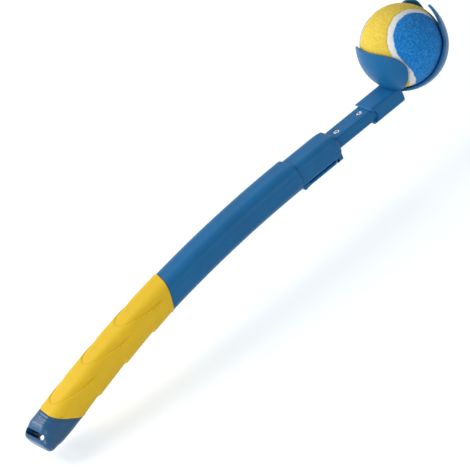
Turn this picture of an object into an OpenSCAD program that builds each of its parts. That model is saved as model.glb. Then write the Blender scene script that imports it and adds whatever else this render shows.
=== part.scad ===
// Dog ball launcher: a curved hand grip, a telescoping flat arm with a flip-lever clamp,
// a three-petal claw on a push-button socket, and a felt-covered ball.
// Millimetres. +X runs along the arm to the claw, +Z is the side the claw opens to,
// and the origin is the middle of the hand grip.

/* [Ball] */
// Outside diameter of the ball over its felt
ball_d = 63.5; // [60:0.5:67]
// Thickness of the felt cover
felt_t = 2.2; // [1.5:0.1:3]
// Wall of the hollow rubber core
core_wall = 3.6; // [2.5:0.1:5]
// Width of the rubber seam between the two felt panels
seam_w = 4.4; // [3:0.1:6]
// How far the seam lies below the felt
seam_sink = 0.4; // [0.2:0.1:1]
// Turn of the ball in the claw, about X, Y and Z
ball_turn = [178, -18.5, -80.3]; // [-180:0.1:180]

/* [Claw] */
// Mean gap between the ball and the cup
ball_gap = 0.9; // [0.9:0.05:1.2]
// Cup's middle, ahead of the centre of the ball that lies in it
cup_ahead = 0.5; // [0:0.1:0.5]
// Cup's middle, above the ball's centre
cup_up = 0.3; // [0:0.1:0.3]
// Height of the upper petals' tips above the cup's middle
cup_high = 14.5; // [12:0.5:18]
// Wall of the cup
cup_wall = 2; // [1.8:0.1:3]
// Lean of the cup's opening from +Z towards the far end
cup_lean = 4.5; // [0:0.5:8]
// Ball centre, ahead of the socket's mouth
ball_ahead = 51; // [48:0.1:54]
// Ball centre, above the arm's middle line
ball_above = 28; // [26:0.1:30]
// Gap between the two upper petals
petal_gap = 12; // [8:0.5:16]
// Depth of the hub under the notches between the petals, down to the cup's lowest point
hub_depth = 8.65; // [8.25:0.05:9.65]
// Middle of the notches, from the cup's back
notch_back = 13.75; // [13.05:0.05:14.25]
// Radius at the bottom of the notches
notch_round = 1.4; // [1:0.1:2]
// Corner radius of the lower petal
petal_round = 18; // [10:0.5:20]
// Lower petal's side edge, from the cup's back
low_edge = 14.45; // [13.65:0.05:15.65]
// Lower petal's rim, behind the cup's middle at the middle's height
low_rim = 14.5; // [13:0.5:16]
// Upper petals' edge, ahead of the cup's middle at the middle's height
top_start = 17.8; // [16:0.1:19]
// Slope of the upper petals' edge there
top_tilt = 44; // [42:0.2:46]
// Depth below the cup's middle where that edge starts to round into the notch
top_bend = 14.3; // [12:0.1:16]
// Radius of that rounding
top_r = 40; // [36:1:44]
// Depth of the gap between the upper petals, below the cup's middle
split_depth = 15; // [8:0.5:18]

/* [Socket] */
// Width of the socket
socket_w = 20.8; // [20.4:0.1:24]
// Thickness of the socket
socket_t = 13.4; // [13.2:0.1:16]
// Edge radius of the socket
socket_r = 3; // [2:0.1:4]
// Depth of the socket's hole
socket_depth = 21; // [16:0.5:22]
// Length of the socket's back, mouth to end
socket_back = 30.8; // [30:0.1:34]
// Depth of the thumb arches in the socket's side walls
arch_depth = 4; // [2:0.5:4.5]
// Height of the raised strip on the socket's back
strip_rise = 1.1; // [0.6:0.1:2]
// Length of the raised strip
strip_len = 21.5; // [18:0.5:26]
// Width of the raised strip
strip_w = 14.6; // [12:0.1:14.8]

/* [Arm] */
// Width of the flat arm
arm_w = 17; // [15:0.1:17.5]
// Thickness of the flat arm
arm_t = 10; // [9:0.1:10.5]
// Edge radius of the arm
arm_r = 3; // [1.5:0.1:3.5]
// Length of arm that shows between the collar and the socket
arm_shown = 36.5; // [28:0.5:60]
// Length of arm behind the collar's rear face
arm_tail = 70; // [50:1:74]
// Wall of the arm's half shells
shell_wall = 2; // [1.6:0.1:2.4]
// Screw head diameter
screw_head_d = 4.8; // [4:0.1:5.2]
// Screw thread diameter
screw_d = 2.4; // [2:0.1:2.8]
// Distance from the socket's mouth to the first screw
screw_inset = 5; // [4:0.5:6]
// Distance between the two screws that show
screw_pitch = 24; // [20:0.5:26]

/* [Button] */
// Length of the head's release button along the arm
button_l = 10.8; // [8:0.1:11]
// Height of the button
button_h = 4.6; // [3.5:0.1:5]
// How far the button stands out of the socket
button_out = 1.5; // [1:0.1:2]
// Start of the button ahead of the socket's mouth
button_start = 5; // [4.8:0.1:6]

/* [Collar] */
// Length of the clamp collar
collar_len = 42; // [38:1:60]
// Width of the collar
collar_w = 22.8; // [22.8:0.1:24.4]
// Thickness of the collar
collar_t = 18.5; // [18.5:0.1:20]
// Edge radius of the collar
collar_r = 5.5; // [5:0.1:7]
// Wall of the collar
collar_wall = 1.9; // [1.8:0.1:2]
// Length of the guide bush inside the collar
bush_len = 24; // [20:0.5:26]

/* [Lever] */
// Thickness of the clamp lever's plate
lever_t = 1.8; // [1.7:0.1:2.4]
// Width of the lever
lever_w = 20; // [18:0.1:20.4]
// Length of the lever behind its pin
lever_len = 35.6; // [30:0.1:35.8]
// Gap between the lever and the collar's back
lever_slot = 0.5; // [0.35:0.05:0.8]
// Length of the block at the lever's free end, which closes round the collar's edges
lever_foot = 6; // [4:0.5:9]
// Pin diameter
pin_d = 2; // [1.8:0.1:2.2]
// Pin's distance behind the collar's mouth
pin_back = 5.8; // [5.4:0.1:8]
// How far the cam stands out past its hub
cam_throw = 0.7; // [0.4:0.1:1]
// Thickness of the steel plate between the cam and the brake pad
shim_t = 0.8; // [0.6:0.1:1]

/* [Handle] */
// Radius of the handle's bend
bend_r = 900; // [700:10:1500]
// Length of bare tube between the collar and the grip
tube_len = 131; // [110:1:180]
// Width of the tube
tube_w = 25.5; // [25:0.1:27]
// Thickness of the tube
tube_t = 23; // [22.6:0.1:25]
// Edge radius of the tube
tube_r = 8.5; // [6:0.1:9.5]
// Wall of the tube
tube_wall = 2.2; // [1.8:0.1:2.2]
// Length of the grip along its middle line
grip_len = 121; // [100:1:150]
// Width of the grip
grip_w = 27; // [26.6:0.1:31]
// Thickness of the grip
grip_t = 24.6; // [24.2:0.1:28]
// Edge radius of the grip
grip_r = 9.5; // [7:0.1:11]
// Wall of the soft grip sleeve
sleeve_wall = 2.4; // [2:0.1:3]
// Slant of both ends of the grip
grip_slant = 22; // [0:1:26]
// Depth of the leaf-shaped hollows in the grip
leaf_sink = 0.7; // [0.3:0.1:1]
// Distance from leaf to leaf
leaf_pitch = 37; // [30:1:42]
// Length of a leaf
leaf_len = 44; // [30:1:46]
// Width of a leaf
leaf_w = 7; // [4:0.5:9]
// Tilt of a leaf from the handle's line
leaf_tilt = 14; // [0:1:20]
// Height of a leaf's middle above the handle's line
leaf_rise = 1.5; // [0:0.1:3]
// Depth of the finger hollows along the grip's back
finger_sink = 1.1; // [0.5:0.1:1.6]
// Radius of the finger hollows
finger_r = 60; // [40:1:90]

/* [End cap] */
// Length of the end cap on its middle line
cap_len = 27; // [24:0.5:34]
// Width of the strap slot
slot_w = 18; // [12:0.5:19]
// Length of the strap slot along the handle
slot_l = 5.4; // [5:0.1:7]
// Bar left behind the slot
bar_l = 4.4; // [3.5:0.1:6]
// Thickness of the cap at its end
cap_end_t = 10; // [8:0.5:16]
// Length of the cap's sloping end
cap_slope = 13; // [8:0.5:16]
// Step from the grip down to the cap
cap_step = 0.3; // [0.2:0.1:0.6]
// Corner radius of the cap's end, seen from the front
cap_corner = 6.2; // [5:0.1:9]
// Length of the plug that holds the cap in the tube
plug_len = 16; // [12:0.5:20]

/* [Clearance] */
// Gap between pieces that slide or turn on one another
slide_gap = 0.3; // [0.25:0.05:0.5]
// Gap round a piece that is fixed in its seat
seat_gap = 0.12; // [0.05:0.01:0.2]
// Radial gap of the pin in the lever
pin_gap = 0.06; // [0.03:0.01:0.1]

/* [Hidden] */
$fn = 64;
BLUE = [0.13, 0.37, 0.61];
NAVY = [0.10, 0.26, 0.45];
YELLOW = [0.94, 0.78, 0.20];
FELT_BLUE = [0.14, 0.42, 0.75];
FELT_YELLOW = [0.93, 0.80, 0.32];
STEEL = [0.75, 0.76, 0.78];
RUBBER = [0.16, 0.17, 0.18];
WHITE = [0.93, 0.92, 0.90];

// A length past every face that a cut has to clear
PAST = 60;
// A short overlap where two solids of one piece join
JOIN = 0.5;
// A short length that a bar or a cut runs on past its end
RUN_ON = 2;

// Places along the stick, from the collar's rear face
mouth_x = collar_len;
socket_x = mouth_x + arm_shown;
ball_x = socket_x + ball_ahead;
grip_front = tube_len;
grip_rear = tube_len + grip_len;
butt = grip_rear + cap_len;
hand = tube_len + grip_len / 2;

// Angle along the handle's bend at a distance behind the collar
function bend_deg(s) = s / bend_r * 180 / PI;
hand_at = [-bend_r * sin(bend_deg(hand)), 0, -bend_r * (1 - cos(bend_deg(hand)))];

// Handle sections
neck_w = grip_w - 2 * sleeve_wall - 2 * seat_gap;
neck_t = grip_t - 2 * sleeve_wall - 2 * seat_gap;
neck_r = grip_r - sleeve_wall - seat_gap;
bore_w = tube_w - 2 * tube_wall;
bore_t = tube_t - 2 * tube_wall;
bore_r = tube_r - tube_wall;
neck_bore_w = neck_w - 2 * tube_wall;
neck_bore_t = neck_t - 2 * tube_wall;
neck_bore_r = neck_r - tube_wall;
slant_reach = grip_t / 2 * tan(grip_slant);
neck_lap = 6;
neck_from = tube_len - slant_reach - neck_lap;
neck_to = grip_rear - slant_reach - 1;
cap_w = grip_w - 2 * cap_step;
cap_t = grip_t - 2 * cap_step;
cap_r = grip_r - cap_step;

// Collar and arm
spigot_len = 14;
spigot_gap = 0.25;
pocket_w = collar_w - 2 * collar_wall;
pocket_t = collar_t - 2 * collar_wall;
pocket_r = collar_r - collar_wall;
mouth_wall = 2;
nose_side_r = 2;
nose_back_r = 3.6;
bush_to = mouth_x - mouth_wall;
bush_from = bush_to - bush_len;
arm_from = -arm_tail;
arm_to = socket_x + socket_depth - slide_gap;
stop_l = 8;
stop_w = pocket_w - 2 * slide_gap;
stop_top = arm_t / 2 + 0.4;
stop_low = -pocket_t / 2 + 2 * slide_gap;

// Screws: the head's height, its seat in the front shell, the tip and the cross recess
head_h = 1.1;
head_sink = 0.2;
head_seat = arm_t / 2 - head_h - head_sink;
screw_low = -arm_t / 2 + 1.3;
cross_l = screw_head_d - 1.8;
cross_w = 0.7;

// Clamp: the pin's place, the cam and the pad that it presses on the arm
pin_x = mouth_x - pin_back;
lever_tail = pin_x - lever_len;
lip_out = 0.8;
hub_r = 1.9;
plate_top = -collar_t / 2 - lever_slot;
plate_low = plate_top - lever_t;
pin_z = plate_low + hub_r - 0.25;
ear_r = hub_r + 0.1;
ear_w = 2.6;
ear_front = mouth_x - 1;
knuckle_w = lever_w - 2 * ear_w - 2 * slide_gap;
cam_top = pin_z + hub_r + cam_throw;
pad_l = 5.4;
pad_w = knuckle_w - 2 * slide_gap;
shim_low = cam_top + pin_gap;
pad_low = shim_low + shim_t;

// Cup radii and the socket's place, seen from the ball's centre
cup_in = ball_d / 2 + ball_gap;
cup_out = cup_in + cup_wall;
mouth_b = -ball_ahead;
socket_end = mouth_b + socket_back;
inner_w = arm_w - 2 * shell_wall;
inner_t = arm_t - 2 * shell_wall;

// Ball
ball_r = ball_d / 2;
core_r = ball_r - felt_t;
// Lean of the panel lobes from the ball's middle plane, as on a tennis ball
lobe_lean = 14;
lobe_half = acos(-pow(sin(lobe_lean), 2)) / 2;
seam_half = seam_w / 2 / ball_r * 180 / PI;
// Keeps neighbouring lobe edges from touching along a line
lobe_ease = 0.6;

// Spring behind the button
spring_turns = 5;
spring_wire = 0.6;
spring_d = 3.6;
button_x = socket_x + button_start + button_l / 2;
flange_t = 1.8;
button_back = inner_w / 2 - slide_gap - flange_t;
spring_play = 0.15;
spring_from = -inner_w / 2 + spring_play;
spring_to = button_back - spring_play;

// Moves a piece from the collar's rear face to the frame of the hand
module in_hand() {
    translate(-hand_at) children();
}

// Rounded rectangle: t along X, w along Y
module rounded(t, w, r) {
    square([t - 2 * r, w], center = true);
    square([t, w - 2 * r], center = true);
    for (sx = [-1, 1], sy = [-1, 1])
        translate([sx * (t / 2 - r), sy * (w / 2 - r)])
            circle(r);
}

// A straight bar of rounded section along X
module bar_x(from, to, t, w, r) {
    translate([from, 0, 0])
        rotate([0, 90, 0])
            linear_extrude(to - from)
                rounded(t, w, r);
}

// A bar of rounded section that follows the handle's bend
module bar_bent(from, to, t, w, r) {
    translate([0, 0, -bend_r])
        rotate([90, 0, 0])
            rotate([0, 0, 90 + bend_deg(from)])
                rotate_extrude(angle = bend_deg(to - from), $fn = 360)
                    translate([bend_r, 0])
                        rounded(t, w, r);
}

// Frame on the handle's middle line: X to the head, Z out of the bend
module on_handle(s) {
    translate([0, 0, -bend_r])
        rotate([0, -bend_deg(s), 0])
            translate([0, 0, bend_r])
                children();
}

// Everything ahead of a slanted plane across the handle
module ahead_of(s, slant) {
    on_handle(s)
        rotate([0, slant, 0])
            translate([0, -PAST / 2, -PAST / 2])
                cube([4 * PAST, PAST, PAST]);
}

// Everything behind a slanted plane across the handle
module behind(s, slant) {
    on_handle(s)
        rotate([0, slant, 0])
            translate([-4 * PAST, -PAST / 2, -PAST / 2])
                cube([4 * PAST, PAST, PAST]);
}

// An outline drawn in X and Z, carried across the stick along Y
module across(w) {
    rotate([90, 0, 0])
        translate([0, 0, -w / 2])
            linear_extrude(w)
                children();
}

module handle_tube() {
    color(BLUE) in_hand()
        difference() {
            union() {
                difference() {
                    bar_bent(0, tube_len + slant_reach + RUN_ON, tube_t, tube_w, tube_r);
                    behind(grip_front, grip_slant);
                }
                bar_bent(neck_from, neck_to, neck_t, neck_w, neck_r);
            }
            bar_bent(-1, neck_from - tube_wall, bore_t, bore_w, bore_r);
            bar_bent(neck_from - tube_wall - JOIN, neck_to + 1, neck_bore_t, neck_bore_w, neck_bore_r);
        }
}

// A leaf: pointed at both ends, lying along X
module leaf(len, w) {
    r = (len * len / 4 + w * w / 4) / w;
    intersection() {
        translate([0, r - w / 2]) circle(r, $fn = 180);
        translate([0, w / 2 - r]) circle(r, $fn = 180);
    }
}

// Leaf-shaped hollows along one side of the grip
module leaf_hollows(side) {
    for (k = [-1 : 1])
        on_handle(hand + k * leaf_pitch)
            translate([0, side * (grip_w / 2 - leaf_sink), leaf_rise])
                rotate([0, leaf_tilt, 0])
                    rotate([-90 * side, 0, 0])
                        linear_extrude(PAST)
                            leaf(leaf_len, leaf_w);
}

// Hollows for the fingers along the back of the grip
module finger_hollows() {
    for (k = [-1 : 1])
        on_handle(hand + k * leaf_pitch)
            translate([0, 0, -grip_t / 2 + finger_sink - finger_r])
                rotate([90, 0, 0])
                    cylinder(h = PAST, r = finger_r, center = true, $fn = 180);
}

module grip_sleeve() {
    color(YELLOW) in_hand()
        difference() {
            bar_bent(grip_front - slant_reach - RUN_ON, grip_rear + slant_reach + RUN_ON,
                grip_t, grip_w, grip_r);
            bar_bent(grip_front - PAST, grip_rear + PAST, neck_t + 2 * seat_gap,
                neck_w + 2 * seat_gap, neck_r + seat_gap);
            ahead_of(grip_front + seat_gap, grip_slant);
            behind(grip_rear, -grip_slant);
            leaf_hollows(1);
            leaf_hollows(-1);
            finger_hollows();
        }
}

// Side outline of the end cap: the end slopes in to a flat bar
module cap_side() {
    edge_l = 1.2;
    edge_t = 2;
    high = cap_t / 2 + JOIN;
    polygon([
        [0, cap_end_t / 2 - edge_t],
        [edge_l, cap_end_t / 2],
        [cap_slope, high],
        [cap_slope, PAST],
        [PAST, PAST],
        [PAST, -PAST],
        [cap_slope / 2, -PAST],
        [cap_slope / 2, -high],
        [edge_l, -cap_end_t / 2],
        [0, -cap_end_t / 2 + edge_t]
    ]);
}

// Plan of the end cap: round corners at the end
module cap_plan() {
    translate([cap_corner, -cap_w]) square([PAST, 2 * cap_w]);
    translate([0, -cap_w / 2 + cap_corner]) square([cap_corner + JOIN, cap_w - 2 * cap_corner]);
    for (s = [-1, 1])
        translate([cap_corner, s * (cap_w / 2 - cap_corner)])
            circle(cap_corner);
}

module end_cap() {
    slot_x = bar_l + slot_l / 2;
    color(NAVY) in_hand()
        difference() {
            union() {
                difference() {
                    intersection() {
                        bar_bent(grip_rear - slant_reach - RUN_ON, butt + RUN_ON, cap_t, cap_w, cap_r);
                        on_handle(butt) across(PAST) cap_side();
                        on_handle(butt) translate([0, 0, -PAST]) linear_extrude(2 * PAST) cap_plan();
                    }
                    ahead_of(grip_rear + seat_gap, -grip_slant);
                }
                bar_bent(neck_to - plug_len, grip_rear + slant_reach + JOIN, neck_bore_t - 2 * seat_gap,
                    neck_bore_w - 2 * seat_gap, neck_bore_r - seat_gap);
            }
            on_handle(butt)
                translate([slot_x, 0, 0])
                    rotate([0, bend_deg(butt), 0])
                        translate([0, 0, -PAST])
                            linear_extrude(2 * PAST)
                                rounded(slot_l, slot_w, slot_l / 2 - JOIN / 2);
        }
}

// Plan of the collar's nose, with round corners at the mouth
module nose_outline(h, r) {
    translate([-PAST, -h / 2]) square([PAST + mouth_x - r, h]);
    translate([-PAST, -h / 2 + r]) square([PAST + mouth_x, h - 2 * r]);
    for (s = [-1, 1])
        translate([mouth_x - r, s * (h / 2 - r)])
            circle(r);
}

// The two ears that hold the lever's pin
module pin_ears() {
    ear_up = -pin_z - collar_t / 2 + collar_wall + 1;
    for (s = [-1, 1])
        translate([pin_x, s * (lever_w / 2 - ear_w / 2), pin_z])
            union() {
                rotate([90, 0, 0])
                    cylinder(h = ear_w, r = ear_r, center = true);
                translate([-ear_r, -ear_w / 2, 0])
                    cube([ear_r + ear_front - pin_x, ear_w, ear_up]);
                translate([0, -ear_w / 2, plate_low - pin_z])
                    cube([ear_front - pin_x, ear_w, pin_z - plate_low + ear_up]);
            }
}

// Opening in the collar's back and in the bush for the pad and the cam
module pad_window(play) {
    translate([pin_x - pad_l / 2 - play, -knuckle_w / 2 - play, -PAST])
        cube([pad_l + 2 * play, knuckle_w + 2 * play, PAST - arm_t / 2 + JOIN]);
}

module clamp_collar() {
    color(BLUE) in_hand()
        difference() {
            union() {
                intersection() {
                    bar_x(0, mouth_x, collar_t, collar_w, collar_r);
                    across(PAST) nose_outline(collar_t, nose_back_r);
                    translate([0, 0, -PAST]) linear_extrude(2 * PAST) nose_outline(collar_w, nose_side_r);
                }
                bar_x(-spigot_len, JOIN, bore_t - 2 * spigot_gap, bore_w - 2 * spigot_gap,
                    bore_r - spigot_gap);
                pin_ears();
            }
            bar_x(-spigot_len - 1, bush_to, pocket_t, pocket_w, pocket_r);
            bar_x(bush_to - 1, mouth_x + 1, arm_t + 2 * slide_gap, arm_w + 2 * slide_gap, arm_r + slide_gap);
            pad_window(slide_gap);
            translate([pin_x, 0, pin_z])
                rotate([90, 0, 0])
                    cylinder(h = PAST, d = pin_d, center = true);
        }
}

module guide_bush() {
    color(NAVY) in_hand()
        difference() {
            bar_x(bush_from, bush_to, pocket_t - 2 * seat_gap, pocket_w - 2 * seat_gap, pocket_r - seat_gap);
            bar_x(bush_from - 1, bush_to + 1, arm_t + 2 * slide_gap, arm_w + 2 * slide_gap,
                arm_r + slide_gap);
            pad_window(slide_gap);
        }
}

module brake_pad() {
    color(RUBBER) in_hand()
        translate([pin_x - pad_l / 2, -pad_w / 2, pad_low])
            cube([pad_l, pad_w, -arm_t / 2 - slide_gap - pad_low]);
}

module pressure_plate() {
    color(STEEL) in_hand()
        translate([pin_x - pad_l / 2, -pad_w / 2, shim_low])
            cube([pad_l, pad_w, shim_t]);
}

module lever_pin() {
    color(STEEL) in_hand()
        translate([pin_x, 0, pin_z])
            rotate([90, 0, 0])
                cylinder(h = lever_w, d = pin_d, center = true);
}

// Side outline of the lever's plate, with a finger lip at its free end
module lever_side() {
    lip_r = 1.4;
    union() {
        translate([lever_tail, plate_low]) square([lever_len - ear_r - 0.8, lever_t]);
        translate([lever_tail + lip_r, plate_low + lip_r - lip_out]) circle(lip_r);
    }
}

// The block at the lever's free end, hollowed to the collar's form
module lever_block() {
    block_up = 4.2;
    difference() {
        translate([lever_tail, -lever_w / 2, plate_low])
            cube([lever_foot, lever_w, lever_t + block_up]);
        bar_x(lever_tail - 1, lever_tail + lever_foot + 1, collar_t + 2 * lever_slot,
            collar_w + 2 * lever_slot, collar_r + lever_slot);
    }
}

module clamp_lever() {
    color(BLUE) in_hand()
        difference() {
            union() {
                across(lever_w) lever_side();
                lever_block();
                across(knuckle_w)
                    union() {
                        translate([pin_x, pin_z]) circle(hub_r);
                        translate([pin_x, pin_z + cam_throw]) circle(hub_r);
                        translate([pin_x - ear_r - 2, plate_low]) square([ear_r + 2, lever_t - 0.3]);
                    }
            }
            translate([pin_x, 0, pin_z])
                rotate([90, 0, 0])
                    cylinder(h = PAST, r = pin_d / 2 + pin_gap, center = true);
        }
}

// Places of the arm's screws: two show, two are inside the handle
screw_places = [
    for (k = [0, 1, 3, 5]) socket_x - screw_inset - k * screw_pitch
];

// One half of the arm: side is 1 for the front and -1 for the back
module arm_half(side) {
    boss_d = screw_d + 3;
    difference() {
        union() {
            difference() {
                bar_x(arm_from, arm_to, arm_t, arm_w, arm_r);
                bar_x(arm_from - 1, arm_to - shell_wall, inner_t, inner_w, arm_r - shell_wall);
            }
            intersection() {
                for (x = screw_places)
                    translate([x, 0, 0]) cylinder(h = arm_t - shell_wall, d = boss_d, center = true);
                bar_x(arm_from, arm_to, arm_t - shell_wall, inner_w, arm_r - shell_wall);
            }
        }
        translate([arm_from - 1, -PAST / 2, side > 0 ? -PAST : 0])
            cube([arm_to - arm_from + 2, PAST, PAST]);
        for (x = screw_places)
            translate([x, 0, screw_low - seat_gap])
                cylinder(h = PAST, d = screw_d + 2 * seat_gap);
        button_window();
    }
}

// Window for the button in the arm's side wall
module button_window() {
    translate([button_x - button_l / 2 - slide_gap, 0, -button_h / 2 - slide_gap])
        cube([button_l + 2 * slide_gap, PAST, button_h + 2 * slide_gap]);
}

// Seats of the screw heads in the front shell
module head_seats() {
    for (x = screw_places)
        translate([x, 0, head_seat])
            cylinder(h = PAST, d = screw_head_d + 2 * seat_gap);
}

module arm_front_shell() {
    color(BLUE) in_hand()
        difference() {
            arm_half(1);
            head_seats();
        }
}

module arm_back_shell() {
    color(BLUE) in_hand() arm_half(-1);
}

module arm_screws() {
    color(STEEL) in_hand()
        for (x = screw_places)
            translate([x, 0, 0])
                difference() {
                    union() {
                        translate([0, 0, head_seat])
                            cylinder(h = head_h, d = screw_head_d);
                        translate([0, 0, screw_low])
                            cylinder(h = head_seat + JOIN - screw_low, d = screw_d);
                    }
                    for (a = [0, 90])
                        translate([0, 0, head_seat + head_h])
                            rotate([0, 0, a])
                                cube([cross_l, cross_w, head_h], center = true);
                }
}

module arm_tail_stop() {
    tongue_l = 10;
    color(NAVY) in_hand()
        union() {
            translate([0, 0, (stop_top + stop_low) / 2])
                bar_x(arm_from - stop_l, arm_from, stop_top - stop_low, stop_w, pocket_r);
            bar_x(arm_from - JOIN, arm_from + tongue_l, inner_t - 2 * seat_gap, inner_w - 2 * seat_gap,
                arm_r - shell_wall - seat_gap);
        }
}

// Moves a piece to the ball's centre
module at_ball() {
    translate([ball_x, 0, ball_above]) children();
}

// Moves a piece from the ball's centre to the cup's middle
module at_cup() {
    translate([cup_ahead, 0, cup_up]) children();
}

// A cup form, round at the back and straight towards the opening
module thimble(r, high) {
    rotate([0, cup_lean, 0])
        rotate_extrude($fn = 128)
            intersection() {
                union() {
                    circle(r, $fn = 128);
                    translate([-r, 0]) square([2 * r, high]);
                }
                translate([0, -2 * r]) square([2 * r, 4 * r]);
            }
}

// Points of an arc, for outlines
function arc_pts(c, r, a0, a1, n) = [
    for (k = [0 : n]) c + r * [cos(a0 + (a1 - a0) * k / n), sin(a0 + (a1 - a0) * k / n)]
];

// The space between the petals, seen from the side: X along the stick, Z to the opening
module petal_space() {
    notch_slope = 18;
    low_turn = 32;
    side_x = low_edge - cup_out;
    notch_at = [notch_back - cup_out, hub_depth - cup_out + notch_round];
    bend_at = [top_start - top_bend / tan(top_tilt), -top_bend];
    top_c = bend_at + top_r * [-sin(top_tilt), cos(top_tilt)];
    polygon(concat(
        [[-PAST, PAST - low_rim]],
        arc_pts([side_x - petal_round, -side_x - low_rim - petal_round * (sqrt(2) - 1)],
            petal_round, 45, 0, 12),
        arc_pts(notch_at, notch_round, 180, 270 + notch_slope, 8),
        arc_pts(top_c, top_r, top_tilt - 90 - low_turn, top_tilt - 90, 12),
        [[top_start + PAST / tan(top_tilt), PAST]]
    ));
}

// The gap between the two upper petals, seen along the stick
module petal_slot() {
    split_from = 8;
    translate([split_from, 0, petal_gap / 2 - split_depth])
        rotate([90, 0, 90])
            linear_extrude(PAST)
                union() {
                    translate([-petal_gap / 2, 0]) square([petal_gap, PAST]);
                    circle(petal_gap / 2);
                }
}

// The socket's outer block, seen from the ball's centre
module socket_block() {
    translate([0, 0, -ball_above])
        union() {
            bar_x(mouth_b, socket_end, socket_t, socket_w, socket_r);
            translate([mouth_b, -strip_w / 2, -socket_t / 2 - strip_rise])
                cube([strip_len, strip_w, strip_rise + JOIN]);
        }
}

// Thumb arches cut into the socket's side walls at the mouth
module mouth_arches() {
    half = arm_t / 2;
    arch_r = (half * half + arch_depth * arch_depth) / (2 * arch_depth);
    translate([mouth_b + arch_depth - arch_r, 0, -ball_above])
        rotate([90, 0, 0])
            cylinder(h = PAST, r = arch_r, center = true);
}

module claw_head() {
    color(BLUE) in_hand() at_ball()
        difference() {
            union() {
                at_cup()
                    difference() {
                        thimble(cup_out, cup_high);
                        across(4 * PAST) petal_space();
                        petal_slot();
                    }
                socket_block();
            }
            at_cup() thimble(cup_in, PAST);
            translate([0, 0, -ball_above]) {
                bar_x(mouth_b - 1, mouth_b + socket_depth, arm_t + 2 * seat_gap, arm_w + 2 * seat_gap,
                    arm_r + seat_gap);
                translate([-ball_x, 0, 0]) button_window();
            }
            mouth_arches();
        }
}

module head_button() {
    flange = 1;
    flange_h = inner_t - 2 * slide_gap;
    color(NAVY) in_hand()
        union() {
            translate([button_x - button_l / 2, button_back, -button_h / 2])
                cube([button_l, socket_w / 2 + button_out - button_back, button_h]);
            translate([button_x - button_l / 2 - flange, button_back, -flange_h / 2])
                cube([button_l + 2 * flange, flange_t, flange_h]);
        }
}

// Points of the spring's middle line
spring_rings = 8;
function spring_at(k) =
    let (a = 360 * k / spring_rings, run = spring_turns * spring_rings)
    [spring_d / 2 * cos(a),
     spring_from + spring_wire / 2 + (spring_to - spring_from - spring_wire) * k / run,
     spring_d / 2 * sin(a)];

// One ring of the wire's surface
spring_sides = 6;
function spring_ring(k) =
    let (a = 360 * k / spring_rings, c = spring_at(k))
    [for (j = [0 : spring_sides - 1])
        let (b = 360 * j / spring_sides)
        c + spring_wire / 2 * [cos(b) * cos(a), sin(b), cos(b) * sin(a)]];

module button_spring() {
    rings = spring_turns * spring_rings + 1;
    n = spring_sides;
    points = [for (k = [0 : rings - 1]) each spring_ring(k)];
    sides = [for (k = [0 : rings - 2], j = [0 : n - 1]) each
        let (a = k * n + j, b = k * n + (j + 1) % n)
        [[a, b, b + n], [a, b + n, a + n]]];
    ends = [
        [for (j = [n - 1 : -1 : 0]) j],
        [for (j = [0 : n - 1]) (rings - 1) * n + j]
    ];
    color(STEEL) in_hand()
        translate([button_x, 0, 0])
            polyhedron(points, concat(sides, ends), convexity = 6);
}

// Least gap between neighbouring turns of the spring
echo(spring_gap = (spring_to - spring_from - spring_wire) / spring_turns - spring_wire);

// Everything past a plane that cuts a round lobe off the ball
module lobe(turn, lean, half) {
    rotate([0, 0, turn])
        rotate([0, 90 - lean, 0])
            translate([-ball_d, -ball_d, ball_r * cos(half)])
                cube(2 * ball_d);
}

// The space of one felt panel: flip is 0 for one panel and 1 for the other
module panel_space(flip) {
    rotate([flip * 180, 0, flip * 90])
        difference() {
            union() {
                translate([-ball_d, -ball_d, 0]) cube(2 * ball_d);
                for (a = [0, 180])
                    lobe(a, -lobe_lean, lobe_half - seam_half - lobe_ease);
            }
            for (a = [90, 270])
                lobe(a, lobe_lean, lobe_half + seam_half);
        }
}

module shell_of(outer, inner) {
    difference() {
        sphere(outer, $fn = 128);
        sphere(inner, $fn = 128);
    }
}

module ball_core() {
    color(RUBBER) in_hand() at_ball()
        shell_of(core_r, core_r - core_wall);
}

module felt_panel(flip) {
    in_hand() at_ball()
        rotate(ball_turn)
            intersection() {
                shell_of(ball_r, core_r);
                panel_space(flip);
            }
}

module felt_panel_blue() {
    color(FELT_BLUE) felt_panel(0);
}

module felt_panel_yellow() {
    color(FELT_YELLOW) felt_panel(1);
}

module ball_seam() {
    color(WHITE) in_hand() at_ball()
        rotate(ball_turn)
            difference() {
                shell_of(ball_r - seam_sink, core_r);
                panel_space(0);
                panel_space(1);
            }
}

handle_tube();
grip_sleeve();
end_cap();
clamp_collar();
guide_bush();
brake_pad();
pressure_plate();
lever_pin();
clamp_lever();
arm_front_shell();
arm_back_shell();
arm_screws();
arm_tail_stop();
claw_head();
head_button();
button_spring();
ball_core();
felt_panel_blue();
felt_panel_yellow();
ball_seam();
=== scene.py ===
"""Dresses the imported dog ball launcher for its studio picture.

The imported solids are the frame. Every piece made here stands for one of them, in its place and
at its size, and adds the roundings, reliefs and finishes that the solids leave out.
Metres throughout: +X runs along the arm to the claw, +Z is the side that the claw opens to.
"""
from __future__ import annotations

import logging
import math
from dataclasses import dataclass, field, replace
from enum import Enum
from typing import Any, Callable, Sequence

import bmesh
import bpy
import numpy as np
from mathutils import Euler, Matrix, Vector
from mathutils.geometry import delaunay_2d_cdt


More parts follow.
